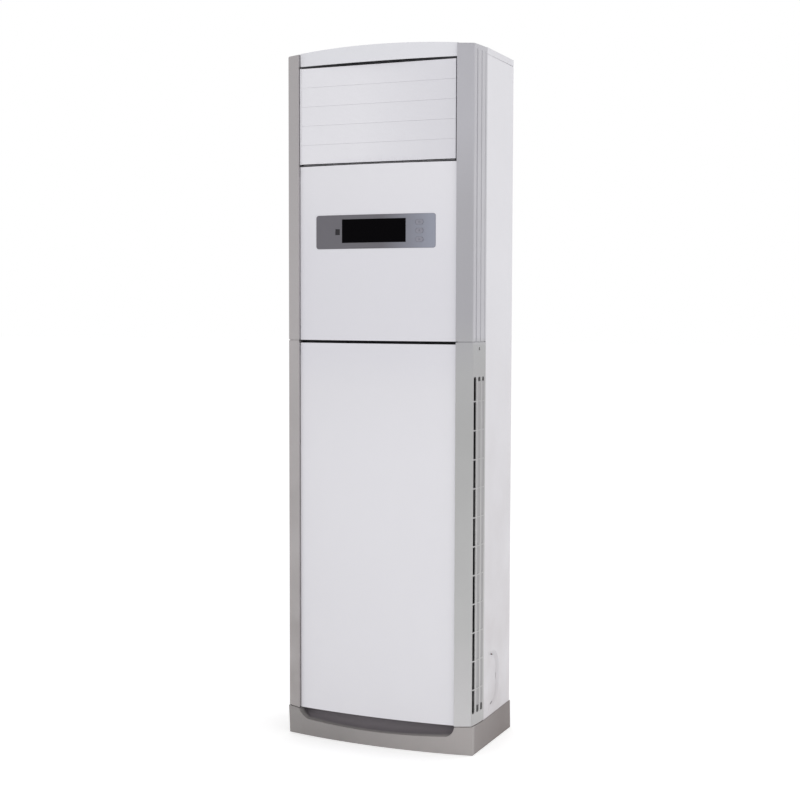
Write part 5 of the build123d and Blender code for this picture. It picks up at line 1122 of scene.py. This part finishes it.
@dataclass
class ControlUnit:
    """Control plate, windows, the three keys and the marks printed on them."""

    shop: Workshop
    mark_half: float = 2.4 * MM
    mark_line: float = 0.5 * MM
    mark_lift: float = 0.06 * MM
    mark_root: float = 0.02 * MM
    power_gap: float = 60.0
    power_bar: tuple[float, float] = (0.1, 1.3)
    sun_rays: int = 8
    sun_ring: float = 0.5
    sun_reach: tuple[float, float] = (0.8, 1.2)
    fan_blades: int = 3
    fan_place: float = 0.55
    fan_curl: float = 0.5
    fan_sweep: tuple[float, float] = (-110, 120)

    def build(self) -> None:
        """Dress the plate and print the keys."""
        variant, dress = self.shop.palette.variant, self.shop.dress
        dress(Slot.PLATE, "control_fascia", edge=THIN_EDGE)
        dress(Slot.WINDOW, "display_window")
        dress(Slot.WINDOW, "receiver_window",
              coat=variant(Slot.WINDOW, "receiver_lens", tint=(52, 50, 54), specular=0.2))
        ink = variant(Slot.BUTTON, "key_ink", tint=(84, 84, 94), wear=0.0)
        for name, node, strokes in (("power_mark", "power_button", self.power_strokes()),
                                    ("mode_mark", "mode_button", self.mode_strokes()),
                                    ("fan_mark", "fan_speed_button", self.fan_strokes())):
            dress(Slot.BUTTON, node)
            self.print_mark(name, node, strokes, ink)

    def ring(self, radius: float, start: float, end: float, centre: tuple[float, float] = (0, 0),
             steps: int = 20) -> Outline:
        """Outline of an arc with the mark's line width.

        Args:
            radius: middle radius of the arc.
            start: first angle in degrees.
            end: last angle in degrees.
            centre: middle of the arc.
            steps: runs along the arc.

        Returns:
            The closed outline.
        """
        points = []
        for offset, order in ((self.mark_line / 2, 1), (-self.mark_line / 2, -1)):
            angles = [math.radians(start + (end - start) * step / steps) for step in range(steps + 1)]
            for turn in angles[::order]:
                points.append((centre[0] + (radius + offset) * math.cos(turn),
                               centre[1] + (radius + offset) * math.sin(turn)))
        return points

    def power_strokes(self) -> list[Outline]:
        """Open ring with a bar at its top."""
        half = self.mark_line / 2
        low, high = (share * self.mark_half for share in self.power_bar)
        opening = 90 + self.power_gap / 2
        return [self.ring(self.mark_half, opening, opening + 360 - self.power_gap),
                [(-half, low), (half, low), (half, high), (-half, high)]]

    def mode_strokes(self) -> list[Outline]:
        """A small sun: a ring with short rays."""
        strokes = [self.ring(self.mark_half * self.sun_ring, 0, 359)]
        near, far = (self.mark_half * share for share in self.sun_reach)
        half = self.mark_line / 2
        for step in range(self.sun_rays):
            turn = math.tau * step / self.sun_rays
            strokes.append([(reach * math.cos(turn) - aside * math.sin(turn),
                             reach * math.sin(turn) + aside * math.cos(turn))
                            for reach, aside in ((near, half), (near, -half), (far, -half), (far, half))])
        return strokes

    def fan_strokes(self) -> list[Outline]:
        """Three curved blades round a middle."""
        strokes = []
        reach = self.mark_half * self.fan_place
        start, end = self.fan_sweep
        for step in range(self.fan_blades):
            turn = 360 / self.fan_blades * step + 90
            middle = (reach * math.cos(math.radians(turn)), reach * math.sin(math.radians(turn)))
            strokes.append(self.ring(self.mark_half * self.fan_curl, turn + start, turn + end,
                                     middle, 12))
        return strokes

    def print_mark(self, name: str, node: str, strokes: list[Outline], ink: bpy.types.Material) -> None:
        """Print a mark on a key's face.

        Args:
            name: the mark's name.
            node: the key's CAD node.
            strokes: closed outlines about the key's middle.
            ink: the mark's finish.
        """
        low, high = self.shop.box(node)
        middle_x, middle_z = (low.x + high.x) / 2, (low.z + high.z) / 2
        solid = Solid()
        for outline in strokes:
            placed = [(middle_x + across, middle_z + up) for across, up in outline]
            solid.prism(placed, Axis.Y, low.y - self.mark_lift, low.y + self.mark_root)
        self.shop.piece(name, solid, Slot.BUTTON, node_body(node), coat=ink)


@dataclass
class Outlet:
    """Louvres, upright vanes, their links and motors, the frame and the liner."""

    shop: Workshop
    louver_count: int = 5
    vane_count: int = 6
    blade_half: float = 209.5 * MM
    blade_right: float = 210.8 * MM
    blade_wall: float = 4.0 * MM
    blade_growth: float = 0.38 * MM
    blade_edge: float = 0.25 * MM
    axis_depth: float = 8.0 * MM
    tongue_wall: float = 1.2 * MM
    tongue_reach: float = 2.6 * MM
    skin: float = 1.5 * MM
    play: float = 0.3 * MM
    boss_radius: float = 4.3 * MM
    pin_radius: float = 3.0 * MM
    tab: float = 3.5 * MM
    arm_x: float = 215.4 * MM
    arm_wall: float = 2.6 * MM
    arm_length: float = 18.0 * MM
    arm_half: float = 4.5 * MM
    arm_pin: float = 2.0 * MM
    arm_pin_start: float = 0.5 * MM
    overlap: float = 1.0 * MM
    rib_half: float = 1.0 * MM
    rib_root: float = 0.1 * MM
    jamb_outer: float = 214.3 * MM
    jamb_inner: float = 210.0 * MM
    jamb_depths: tuple[float, float] = (0.3 * MM, 3.2 * MM)
    sill_depth: float = 5.5 * MM
    sill_wall: float = 6.0 * MM
    sill_inset: float = 2.0 * MM
    sill_top_gap: float = 2.2 * MM
    sill_edge: float = 0.4 * MM

    def build(self) -> None:
        """Build the louvres and dress the rest."""
        for number in range(1, self.louver_count + 1):
            self.build_louver(number)
        self.build_jamb()
        self.build_sill()
        dress = self.shop.dress
        dress(Slot.DUCT, *(f"air_vane_{number}" for number in range(1, self.vane_count + 1)))
        dress(Slot.DUCT, "outlet_frame", edge=SHEET_EDGE)
        dress(Slot.FOAM, "duct_liner", edge=SOFT_EDGE)
        dress(Slot.DARK, "louver_link", "louver_crank", "vane_link")
        dress(Slot.MOTOR, "louver_motor", "vane_motor", edge=SHEET_EDGE)

    def blade_outline(self, face: float, low: float, high: float, top: bool, bottom: bool) -> Outline:
        """Section of a blade; a tongue on its top edge reaches behind the blade above.

        Args:
            face: Y of its front.
            low: its lower edge.
            high: its upper edge.
            top: whether a blade lies above.
            bottom: whether a blade lies below.

        Returns:
            Closed outline as Y and Z.
        """
        edge, back = self.blade_edge, face + self.blade_wall
        points = [(face, low + edge), (face, high - edge), (face + edge, high)]
        if top:
            near = face + self.skin + self.play
            points += [(near, high), (near, high + self.tongue_reach),
                       (near + self.tongue_wall, high + self.tongue_reach),
                       (near + self.tongue_wall, high)]
        points += [(back, high)]
        if bottom:
            step = low + self.tongue_reach + 2 * self.play
            points += [(back, step), (face + self.skin, step), (face + self.skin, low)]
        else:
            points += [(back, low)]
        return points + [(face + edge, low)]

    def build_louver(self, number: int) -> None:
        """Build one louvre with its stiffener, pivots and arm.

        Args:
            number: 1 for the top one.
        """
        node = f"louver_blade_{number}"
        low, high = self.shop.box(node)
        middle = (low.z + high.z) / 2
        axis_y = low.y + self.axis_depth
        outline = self.blade_outline(low.y, low.z - self.blade_growth, high.z + self.blade_growth,
                                     number > 1, number < self.louver_count)
        solid = Solid().prism(outline, Axis.X, -self.blade_half, self.blade_right)
        inner, arm_end = self.blade_half - self.tab, self.arm_x + self.arm_wall
        solid.block((-inner, low.y + self.blade_wall - self.rib_root, middle - self.rib_half),
                    (inner, axis_y, middle + self.rib_half), SHEET_EDGE)
        pivot, pin = (0.0, axis_y, middle), (0.0, axis_y + self.arm_length, middle)
        for radius, near, far, sides in (
                (self.boss_radius, -self.blade_half, -inner, 28),
                (self.boss_radius, inner, self.blade_half, 28),
                (self.pin_radius, low.x, self.overlap - self.blade_half, 24),
                (self.pin_radius, self.blade_half - self.overlap, arm_end, 24)):
            solid.rod(radius, near, far, Axis.X, pivot, sides)
        solid.prism(self.arm_outline(axis_y, middle), Axis.X, self.arm_x, arm_end)
        solid.rod(self.arm_pin, self.arm_x + self.arm_pin_start, high.x, Axis.X, pin, 20)
        self.shop.piece(f"louver_{number}", solid, Slot.LOUVER, node_body(node), [node])

    def arm_outline(self, axis_y: float, middle: float, steps: int = 12) -> Outline:
        """Outline of the arm, as Y and Z, with each round end in the given number of steps."""
        points = []
        for end, start in ((axis_y + self.arm_length, -90), (axis_y, 90)):
            for step in range(steps + 1):
                turn = math.radians(start + 180 / steps * step)
                points.append((end + self.arm_half * math.cos(turn),
                               middle + self.arm_half * math.sin(turn)))
        return points

    def build_sill(self) -> None:
        """Fit the lip that closes the joint under the lowest louvre; its grey tint is painted shade in
        the joint.
        """
        foot, _ = self.shop.box(f"louver_blade_{self.louver_count}")
        _, panel = self.shop.box("mid_front_panel")
        half, face = self.blade_half - self.sill_inset, foot.y + self.sill_depth
        solid = Solid().block((-half, face, panel.z + self.play),
                              (half, face + self.sill_wall, foot.z - self.sill_top_gap),
                              self.sill_edge)
        # The lip's grey tint is painted shade in the joint.
        coat = self.shop.palette.variant(Slot.LOUVER, "sill_shaded_coat", tint=(196, 194, 198), stops=())
        self.shop.piece("outlet_sill", solid, Slot.LOUVER, coat=coat)

    def build_jamb(self) -> None:
        """Fit the narrow white strip beside the louvres' left ends."""
        top_low, top_high = self.shop.box("louver_blade_1")
        foot, _ = self.shop.box(f"louver_blade_{self.louver_count}")
        near, far = (top_low.y + depth for depth in self.jamb_depths)
        solid = Solid().block((-self.jamb_outer, near, foot.z - self.overlap),
                              (-self.jamb_inner, far, top_high.z + self.overlap), SHEET_EDGE)
        self.shop.piece("outlet_jamb", solid, Slot.LOUVER)


@dataclass
class Coil:
    """Evaporator: foil fins, end plates with return bends, drain pan and pipes."""

    shop: Workshop
    fin_pitch: float = 1.9 * MM
    fin_wall: float = 0.16 * MM
    fin_lean: float = 0.004
    fin_inset: float = 0.004
    fin_seed: int = 7

    def build(self) -> None:
        """Build the fins and dress the rest."""
        self.build_fins()
        self.shop.dress(Slot.COPPER, "left_coil_end", "right_coil_end", "gas_pipe", "liquid_pipe")
        self.shop.dress(Slot.PAN, "drain_pan", edge=SOFT_EDGE)

    def build_fins(self) -> None:
        """Stack foil fins along X in the CAD block's outline."""
        low, high = self.shop.box("evaporator_fins")
        corners = {(round(vert.co.y, 6), round(vert.co.z, 6))
                   for vert in self.shop.nodes["evaporator_fins"].data.vertices}
        middle = (sum(y for y, _ in corners) / len(corners), sum(z for _, z in corners) / len(corners))
        outline = sorted(corners, key=lambda spot: math.atan2(spot[1] - middle[1], spot[0] - middle[0]))
        inset = [(y + (middle[0] - y) * self.fin_inset, z + (middle[1] - z) * self.fin_inset)
                 for y, z in outline]
        fin = Solid().prism(inset, Axis.X, -self.fin_wall / 2, self.fin_wall / 2).data("fin")

        tree = RepeatTree("fin_stack")
        count, pitch = tree.size("Count", "Int"), tree.size("Pitch")
        first, lean, seed = tree.size("First"), tree.size("Lean"), tree.size("Seed", "Int")
        line = tree.add("GeometryNodeMeshLine", {"Count": count, "Start Location": tree.vector(first),
                                                 "Offset": tree.vector(pitch)})
        wobble = tree.add("FunctionNodeRandomValue", {
            "Seed": seed, 2: tree.maths("MULTIPLY", lean, -1.0), 3: lean}, data_type="FLOAT")
        fins = tree.copies(line.outputs[0], tree.start.outputs[0],
                           tree.vector(0.0, 0.0, wobble.outputs[1]))
        tree.close(fins, self.shop.palette.coat(Slot.FIN))
        total = int((high.x - low.x - 2 * MM) / self.fin_pitch)
        mesh = tree.grow("coil_fins", fin, {
            "Count": total, "Pitch": self.fin_pitch, "Lean": self.fin_lean, "Seed": self.fin_seed,
            "First": (low.x + high.x) / 2 - (total - 1) * self.fin_pitch / 2})
        self.shop.piece("coil_fins", mesh, Slot.FIN, stands_for=["evaporator_fins"])


@dataclass
class Blower:
    """Fan wheel with curved blades, its housing, inlet and motor."""

    shop: Workshop
    blade_count: int = 42
    blade_chord: float = 24 * MM
    blade_wall: float = 1.0 * MM
    blade_camber: float = 5 * MM
    blade_turn: float = 0.55
    blade_seat: float = 0.55
    disc_wall: float = 2 * MM
    rim: float = 6 * MM
    rim_lip: float = 1.5 * MM
    groove: tuple[float, ...] = (0.45, 0.55, 0.78, 0.84)
    groove_depth: float = 2.4 * MM
    hub_radius: float = 22 * MM
    hub_length: float = 26 * MM
    hub_collar: float = 8 * MM
    hub_nose: tuple[float, float] = (0.75, 0.8)
    hub_grip: float = 0.9
    shaft_radius: float = 6 * MM
    shaft_length: float = 32 * MM
    shaft_bevel: float = 0.5 * MM

    def build(self) -> None:
        """Build the wheel and dress the still parts."""
        self.build_wheel()
        self.shop.dress(Slot.GALVANISED, "fan_housing", edge=SHEET_EDGE)
        self.shop.dress(Slot.DARK, "bell_mouth")
        self.shop.dress(Slot.MOTOR, "fan_motor")

    def blade_mesh(self, length: float) -> bpy.types.Mesh:
        """One blade about the origin, its chord along X and its length along Z.

        Args:
            length: the blade's length.

        Returns:
            The blade.
        """
        front, back = [], []
        for step in range(6):
            share = step / 5
            along = (share - 0.5) * self.blade_chord
            bow = self.blade_camber * 4 * share * (1 - share)
            front.append((along, bow + self.blade_wall / 2))
            back.append((along, bow - self.blade_wall / 2))
        return Solid().prism(front + back[::-1], Axis.Z, 0.0, length).data("blade")

    def build_wheel(self) -> None:
        """Measure the CAD wheel, and build the ring of blades and the body that carries it."""
        low, high = self.shop.box("fan_wheel")
        radius = (high.x - low.x) / 2
        centre = (low + high) / 2
        spots = [vert.co for vert in self.shop.nodes["fan_wheel"].data.vertices]
        front_y = min(spot.y for spot in spots)
        back_y = max(spot.y for spot in spots
                     if math.hypot(spot.x - centre.x, spot.z - centre.z) > radius * 0.9)
        self.build_blades(radius, centre, front_y, back_y)
        self.build_body(radius, (centre.x, 0.0, centre.z), front_y, back_y, high.y)

    def build_blades(self, radius: float, centre: Vector, front_y: float, back_y: float) -> None:
        """Set the blades in a ring.

        Args:
            radius: the wheel's radius.
            centre: its middle.
            front_y: where the rim begins.
            back_y: where the disc ends.
        """
        tree = RepeatTree("blade_ring")
        count, reach, lean = tree.size("Count", "Int"), tree.size("Radius"), tree.size("Lean")
        place = tree.size("Place", "Vector")
        circle = tree.add("GeometryNodeMeshCircle", {"Vertices": count, "Radius": reach})
        index = tree.add("GeometryNodeInputIndex").outputs[0]
        turn = tree.maths("DIVIDE", tree.maths("MULTIPLY", index, math.tau), count)
        blades = tree.copies(circle.outputs[0], tree.start.outputs[0],
                             tree.vector(0.0, 0.0, tree.maths("ADD", turn, lean)))
        upright = tree.add("GeometryNodeTransform", {
            "Geometry": blades, "Rotation": tree.vector(math.radians(90.0)), "Translation": place})
        tree.close(upright.outputs[0], self.shop.palette.coat(Slot.GALVANISED))
        mesh = tree.grow("fan_blades", self.blade_mesh(back_y - front_y - self.disc_wall), {
            "Count": self.blade_count, "Radius": radius - self.blade_chord * self.blade_seat,
            "Lean": self.blade_turn, "Place": (centre.x, back_y - self.disc_wall / 2, centre.z)})
        self.shop.piece("fan_blades", smooth(mesh), Slot.GALVANISED, "fan_rotor")

    def build_body(self, radius: float, spot: Point, front_y: float, back_y: float,
                   shaft_end: float) -> None:
        """Turn the disc with its groove, the rim, the hub and the shaft.

        Args:
            radius: the wheel's radius.
            spot: a point on its axis.
            front_y: where the rim begins.
            back_y: where the disc ends.
            shaft_end: where the shaft ends.
        """
        hub, shaft, bevel = self.hub_radius, self.shaft_radius, self.shaft_bevel
        # The hub reaches a little into the shaft, so that no gap is left between them.
        bore = shaft * self.hub_grip
        face, rim_back = back_y - self.disc_wall, front_y + self.disc_wall
        levels = (0.0, self.groove_depth, self.groove_depth, 0.0)
        groove = [(radius * share, face - level) for share, level in zip(self.groove, levels)]
        hub_tip, shaft_tip = back_y - self.hub_length, back_y - self.shaft_length
        body = Solid()
        body.lathe([(shaft, face)] + groove + [(radius, face), (radius, back_y), (shaft, back_y)],
                   Axis.Y, spot, 72)
        body.lathe([(radius - self.rim, front_y), (radius, front_y), (radius, rim_back + self.disc_wall),
                    (radius - 1.0 * MM, rim_back + self.disc_wall), (radius - self.rim_lip, rim_back),
                    (radius - self.rim, rim_back)], Axis.Y, spot, 72)
        tip, nose = (hub * share for share in self.hub_nose)
        body.lathe([(bore, hub_tip), (tip, hub_tip), (nose, hub_tip + 1 * MM),
                    (hub, back_y - self.hub_collar), (hub, back_y - 1 * MM), (bore, back_y - 1 * MM)],
                   Axis.Y, spot, 40)
        body.lathe([(0.0, shaft_tip), (shaft - 0.6 * MM, shaft_tip), (shaft, shaft_tip + 0.6 * MM),
                    (shaft, shaft_end - bevel), (shaft - bevel, shaft_end), (0.0, shaft_end)],
                   Axis.Y, spot, 32)
        self.shop.piece("fan_wheel_body", body, Slot.GALVANISED, "fan_rotor", ["fan_wheel"])


@dataclass
class Filters:
    """Slide-in intake filters: a moulded frame with a woven net."""

    shop: Workshop
    border: float = 6 * MM
    bays: int = 6
    bay_inset: float = 0.3 * MM
    bar_edge: float = 0.6 * MM
    net_pitch: float = 3.0 * MM
    thread: float = 0.5 * MM

    def build(self) -> None:
        """Build both filters."""
        tree = self.net_tree()
        for side in ("left", "right"):
            self.build_one(side, tree)

    def net_tree(self) -> RepeatTree:
        """Make the tree that weaves a net in the YZ plane.

        Returns:
            The tree.
        """
        tree = RepeatTree("woven_net")
        wide, tall, pitch = tree.size("Width"), tree.size("Height"), tree.size("Pitch")
        thread, place = tree.size("Thread"), tree.size("Place", "Vector")
        families = []
        for along, across in ((Axis.Y, Axis.Z), (Axis.Z, Axis.Y)):
            span, reach = (wide, tall) if along is Axis.Y else (tall, wide)
            steps = tree.maths("FLOOR", tree.maths("DIVIDE", span, pitch))
            start, offset, size = [0.0] * 3, [0.0] * 3, [thread] * 3
            start[along.value] = tree.maths("MULTIPLY", tree.maths("MULTIPLY", steps, pitch), -0.5)
            offset[along.value] = pitch
            size[across.value] = reach
            line = tree.add("GeometryNodeMeshLine", {
                "Count": tree.maths("ADD", steps, 1.0), "Start Location": tree.vector(*start),
                "Offset": tree.vector(*offset)})
            bar = tree.add("GeometryNodeMeshCube", {"Size": tree.vector(*size)})
            families.append(tree.copies(line.outputs[0], bar.outputs[0]))
        joined = tree.add("GeometryNodeJoinGeometry")
        for family in families:
            tree.join(family, joined.inputs[0])
        moved = tree.add("GeometryNodeTransform", {"Geometry": joined.outputs[0], "Translation": place})
        tree.close(moved.outputs[0], self.shop.palette.coat(Slot.NET))
        return tree

    def build_one(self, side: str, tree: RepeatTree) -> None:
        """Build one filter.

        Args:
            side: left or right.
            tree: the net's tree.
        """
        low, high = self.shop.box(f"{side}_filter")
        bar = self.border
        solid = Solid()
        for start in (low.y, high.y - bar):
            solid.block((low.x, start, low.z), (high.x, start + bar, high.z), self.bar_edge)
        step = (high.z - low.z - bar) / self.bays
        for index in range(self.bays + 1):
            level = low.z + step * index
            solid.block((low.x + self.bay_inset, low.y + bar / 2, level),
                        (high.x - self.bay_inset, high.y - bar / 2, level + bar), self.bar_edge)
        self.shop.piece(f"{side}_filter_frame", solid, Slot.NET, stands_for=[f"{side}_filter"])
        mesh = tree.grow(f"{side}_filter_net", bpy.data.meshes.new("net_seed"), {
            "Width": high.y - low.y - bar, "Height": high.z - low.z - bar, "Pitch": self.net_pitch,
            "Thread": self.thread, "Place": tuple((low + high) / 2)})
        self.shop.piece(f"{side}_filter_net", mesh, Slot.NET)


@dataclass
class Fasteners:
    """Pan-head screws with cross recesses, one at each CAD screw."""

    shop: Workshop
    head_radius: float = 3.8 * MM
    head_height: float = 2.2 * MM
    shank_radius: float = 1.9 * MM
    shank_length: float = 9 * MM
    slot_half: float = 2.2 * MM
    slot_wall: float = 0.45 * MM
    slot_floor: float = 0.35
    point_length: float = 3 * MM
    head_shares: tuple[tuple[float, float], ...] = ((1.0, 0.0), (1.0, 0.45), (0.86, 0.8), (0.62, 1.0))
    spin_seed: int = 3

    def screw_mesh(self) -> bpy.types.Mesh:
        """One screw about the origin: its seat at 0 and its head towards +Z.

        Returns:
            The screw.
        """
        top, tip, shank = self.head_height, -self.shank_length, self.shank_radius
        profile = [(0.0, tip), (shank * 0.4, tip + 1 * MM), (shank, tip + self.point_length),
                   (shank, 0.0)]
        profile += [(self.head_radius * wide, top * tall) for wide, tall in self.head_shares]
        solid = Solid().lathe(profile + [(0.0, top)], Axis.Z, (0.0, 0.0, 0.0), 20)
        cutter = Solid()
        for long_half, wide_half in ((self.slot_half, self.slot_wall), (self.slot_wall, self.slot_half)):
            cutter.block((-long_half, -wide_half, top * self.slot_floor), (long_half, wide_half, top * 2))
        blank = add_object("screw_blank", solid.data("screw"))
        cross = add_object("screw_cross", cutter.data("screw_cross"))
        cut = blank.modifiers.new("cross", "BOOLEAN")
        cut.object = cross
        cut.operation = "DIFFERENCE"
        cut.solver = "EXACT"
        cut.use_self = True
        result = modified_mesh(blank)
        for item in (blank, cross):
            bpy.data.objects.remove(item)
        return result

    def build(self) -> None:
        """Set a screw on every solid of the CAD node."""
        places, ways = [], []
        for group in self.shop.islands("case_screws"):
            low = Vector([min(spot[axis] for spot in group) for axis in range(3)])
            high = Vector([max(spot[axis] for spot in group) for axis in range(3)])
            size, middle = high - low, (low + high) / 2
            if size.y > size.x:
                places.append((middle.x, high.y - self.head_height, middle.z))
                ways.append((0.0, 1.0, 0.0))
            else:
                side = 1.0 if middle.x > 0 else -1.0
                outer = high.x if side > 0 else low.x
                places.append((outer - side * self.head_height, middle.y, middle.z))
                ways.append((side, 0.0, 0.0))
        seed = bpy.data.meshes.new("screw_places")
        seed.from_pydata(places, [], [])
        facing = seed.attributes.new("facing", "FLOAT_VECTOR", "POINT")
        for index, way in enumerate(ways):
            facing.data[index].vector = way
        holder = add_object("screw_pattern", self.screw_mesh())
        tree = RepeatTree("screw_set")
        pattern, spin, chance = tree.size("Screw", "Object"), tree.size("Spin"), tree.size("Seed", "Int")
        shape = tree.add("GeometryNodeObjectInfo", {"Object": pattern}, transform_space="ORIGINAL")
        facing_node = tree.add("GeometryNodeInputNamedAttribute", {"Name": "facing"},
                               data_type="FLOAT_VECTOR")
        rolled = tree.add("FunctionNodeRandomValue", {"Seed": chance, 3: spin}, data_type="FLOAT")
        aligned = tree.add("FunctionNodeAlignRotationToVector", {
            "Rotation": tree.vector(0.0, 0.0, 0.0), "Vector": facing_node.outputs[0]}, axis="Z")
        turned = tree.add("FunctionNodeRotateRotation", {
            "Rotation": aligned.outputs[0], "Rotate By": tree.vector(0.0, 0.0, rolled.outputs[1])},
            rotation_space="LOCAL")
        screws = tree.copies(tree.start.outputs[0], shape.outputs["Geometry"], turned.outputs[0])
        tree.close(screws, self.shop.palette.coat(Slot.SCREW))
        mesh = tree.grow("cross_screws", seed, {"Screw": holder, "Spin": math.pi, "Seed": self.spin_seed})
        bpy.data.objects.remove(holder)
        self.shop.piece("cross_screws", mesh, Slot.SCREW, stands_for=["case_screws"])


@dataclass(frozen=True)
class PartRow:
    """A row of equal blocks on the main board; depths below 0 count from its back edge."""

    count: int
    first: float
    pitch: float
    width: float
    near: float
    far: float
    height: float
    edge: float


@dataclass
class Interior:
    """Frame posts, base pan, divider, hose, electrical box and boards."""

    shop: Workshop
    rib_pitch: float = 6 * MM
    rib_rise: float = 0.9 * MM
    rib_gap: float = 2 * MM
    rib_crest: tuple[float, float] = (0.35, 0.65)
    hose_wall: float = 4 * MM
    cuff_wall: float = 2 * MM
    cuff_length: float = 24 * MM
    sleeve_length: float = 20 * MM
    sleeve_play: float = 0.2 * MM
    spigot_depth: float = 12 * MM
    board_foot: float = 5 * MM
    board_face: float = 6.6 * MM
    post_inset: float = 6 * MM
    post_radius: float = 3 * MM
    post_head: float = 0.6 * MM
    can_radius: float = 18 * MM
    can_height: float = 50 * MM
    can_bevel: float = 2 * MM
    can_place: tuple[float, float] = (110 * MM, -36 * MM)
    part_rows: tuple[PartRow, ...] = (
        PartRow(3, 12 * MM, 18 * MM, 17 * MM, -60 * MM, -12 * MM, 44 * MM, 1.0 * MM),
        PartRow(4, 20 * MM, 26 * MM, 18 * MM, 44 * MM, 62 * MM, 16 * MM, 0.8 * MM),
        PartRow(6, 12 * MM, 16 * MM, 14 * MM, 1 * MM, 18 * MM, 16 * MM, 0.6 * MM))

    def build(self) -> None:
        """Build the hose and dress the rest."""
        self.shop.dress(Slot.GALVANISED, "base_pan", "left_frame_post", "right_frame_post",
                        "hinge_brackets", "divider_plate", "electrical_box", edge=THIN_EDGE)
        self.build_hose()
        self.build_board()
        self.shop.dress(Slot.BOARD, "control_board")

    def build_hose(self) -> None:
        """Turn a corrugated hose with plain cuffs in the CAD hose's place."""
        low, high = self.shop.box("drain_hose")
        centre = ((low.x + high.x) / 2, (low.y + high.y) / 2, 0.0)
        outer = (high.x - low.x) / 2
        tip, bore, foot = outer - self.cuff_wall, outer - self.hose_wall, low.z + self.cuff_length
        sleeve, seat = tip + self.sleeve_play, high.z - self.spigot_depth
        profile = [(bore, low.z), (tip, low.z), (tip, foot), (outer, foot),
                   (outer, foot + self.sleeve_length)]
        level = foot + self.sleeve_length + self.rib_gap
        while level < high.z - self.cuff_length:
            profile.append((outer - self.rib_rise, level))
            profile += [(outer, level + self.rib_pitch * share) for share in self.rib_crest]
            level += self.rib_pitch
        profile += [(outer, level), (outer, high.z), (sleeve, high.z), (sleeve, seat), (bore, seat)]
        solid = Solid().lathe(profile, Axis.Z, centre, 28)
        self.shop.piece("ribbed_hose", solid, Slot.HOSE, stands_for=["drain_hose"])

    def build_board(self) -> None:
        """Lay out the main board and its components."""
        low, high = self.shop.box("main_board")
        face = low.z + self.board_face
        board = Solid().block((low.x, low.y, low.z + self.board_foot), (high.x, high.y, face), 0.2 * MM)
        for x in (low.x + self.post_inset, high.x - self.post_inset):
            for y in (low.y + self.post_inset, high.y - self.post_inset):
                board.rod(self.post_radius, low.z, face + self.post_head, Axis.Z, (x, y, 0.0), 16)
        self.shop.piece("circuit_board", board, Slot.BOARD, stands_for=["main_board"])
        parts = Solid()
        can, shoulder = self.can_radius, face + self.can_height
        top = shoulder + self.can_bevel
        spot = (low.x + self.can_place[0], high.y + self.can_place[1], 0.0)
        parts.lathe([(0.0, face), (can, face), (can, shoulder), (can - self.can_bevel, top),
                     (0.0, top)], Axis.Z, spot, 32)
        for row in self.part_rows:
            edge_y = high.y if row.near < 0 else low.y
            for step in range(row.count):
                x = low.x + row.first + row.pitch * step
                if x + row.width < high.x:
                    parts.block((x, edge_y + row.near, face),
                                (x + row.width, edge_y + row.far, face + row.height), row.edge)
        self.shop.piece("board_parts", parts, Slot.DARK)


def main() -> None:
    """Build the studio and every sub-assembly in order."""
    logging.basicConfig(level=logging.INFO, format="%(name)s: %(message)s")
    Studio().build()
    shop = Workshop(Palette())
    makers: tuple[Callable[[Workshop], object], ...] = (
        Casing, ControlUnit, Outlet, Coil, Blower, Filters, Fasteners, Interior)
    for maker in makers:
        LOG.info("building %s", maker.__name__)
        maker(shop).build()


if __name__ == "__main__":
    main()
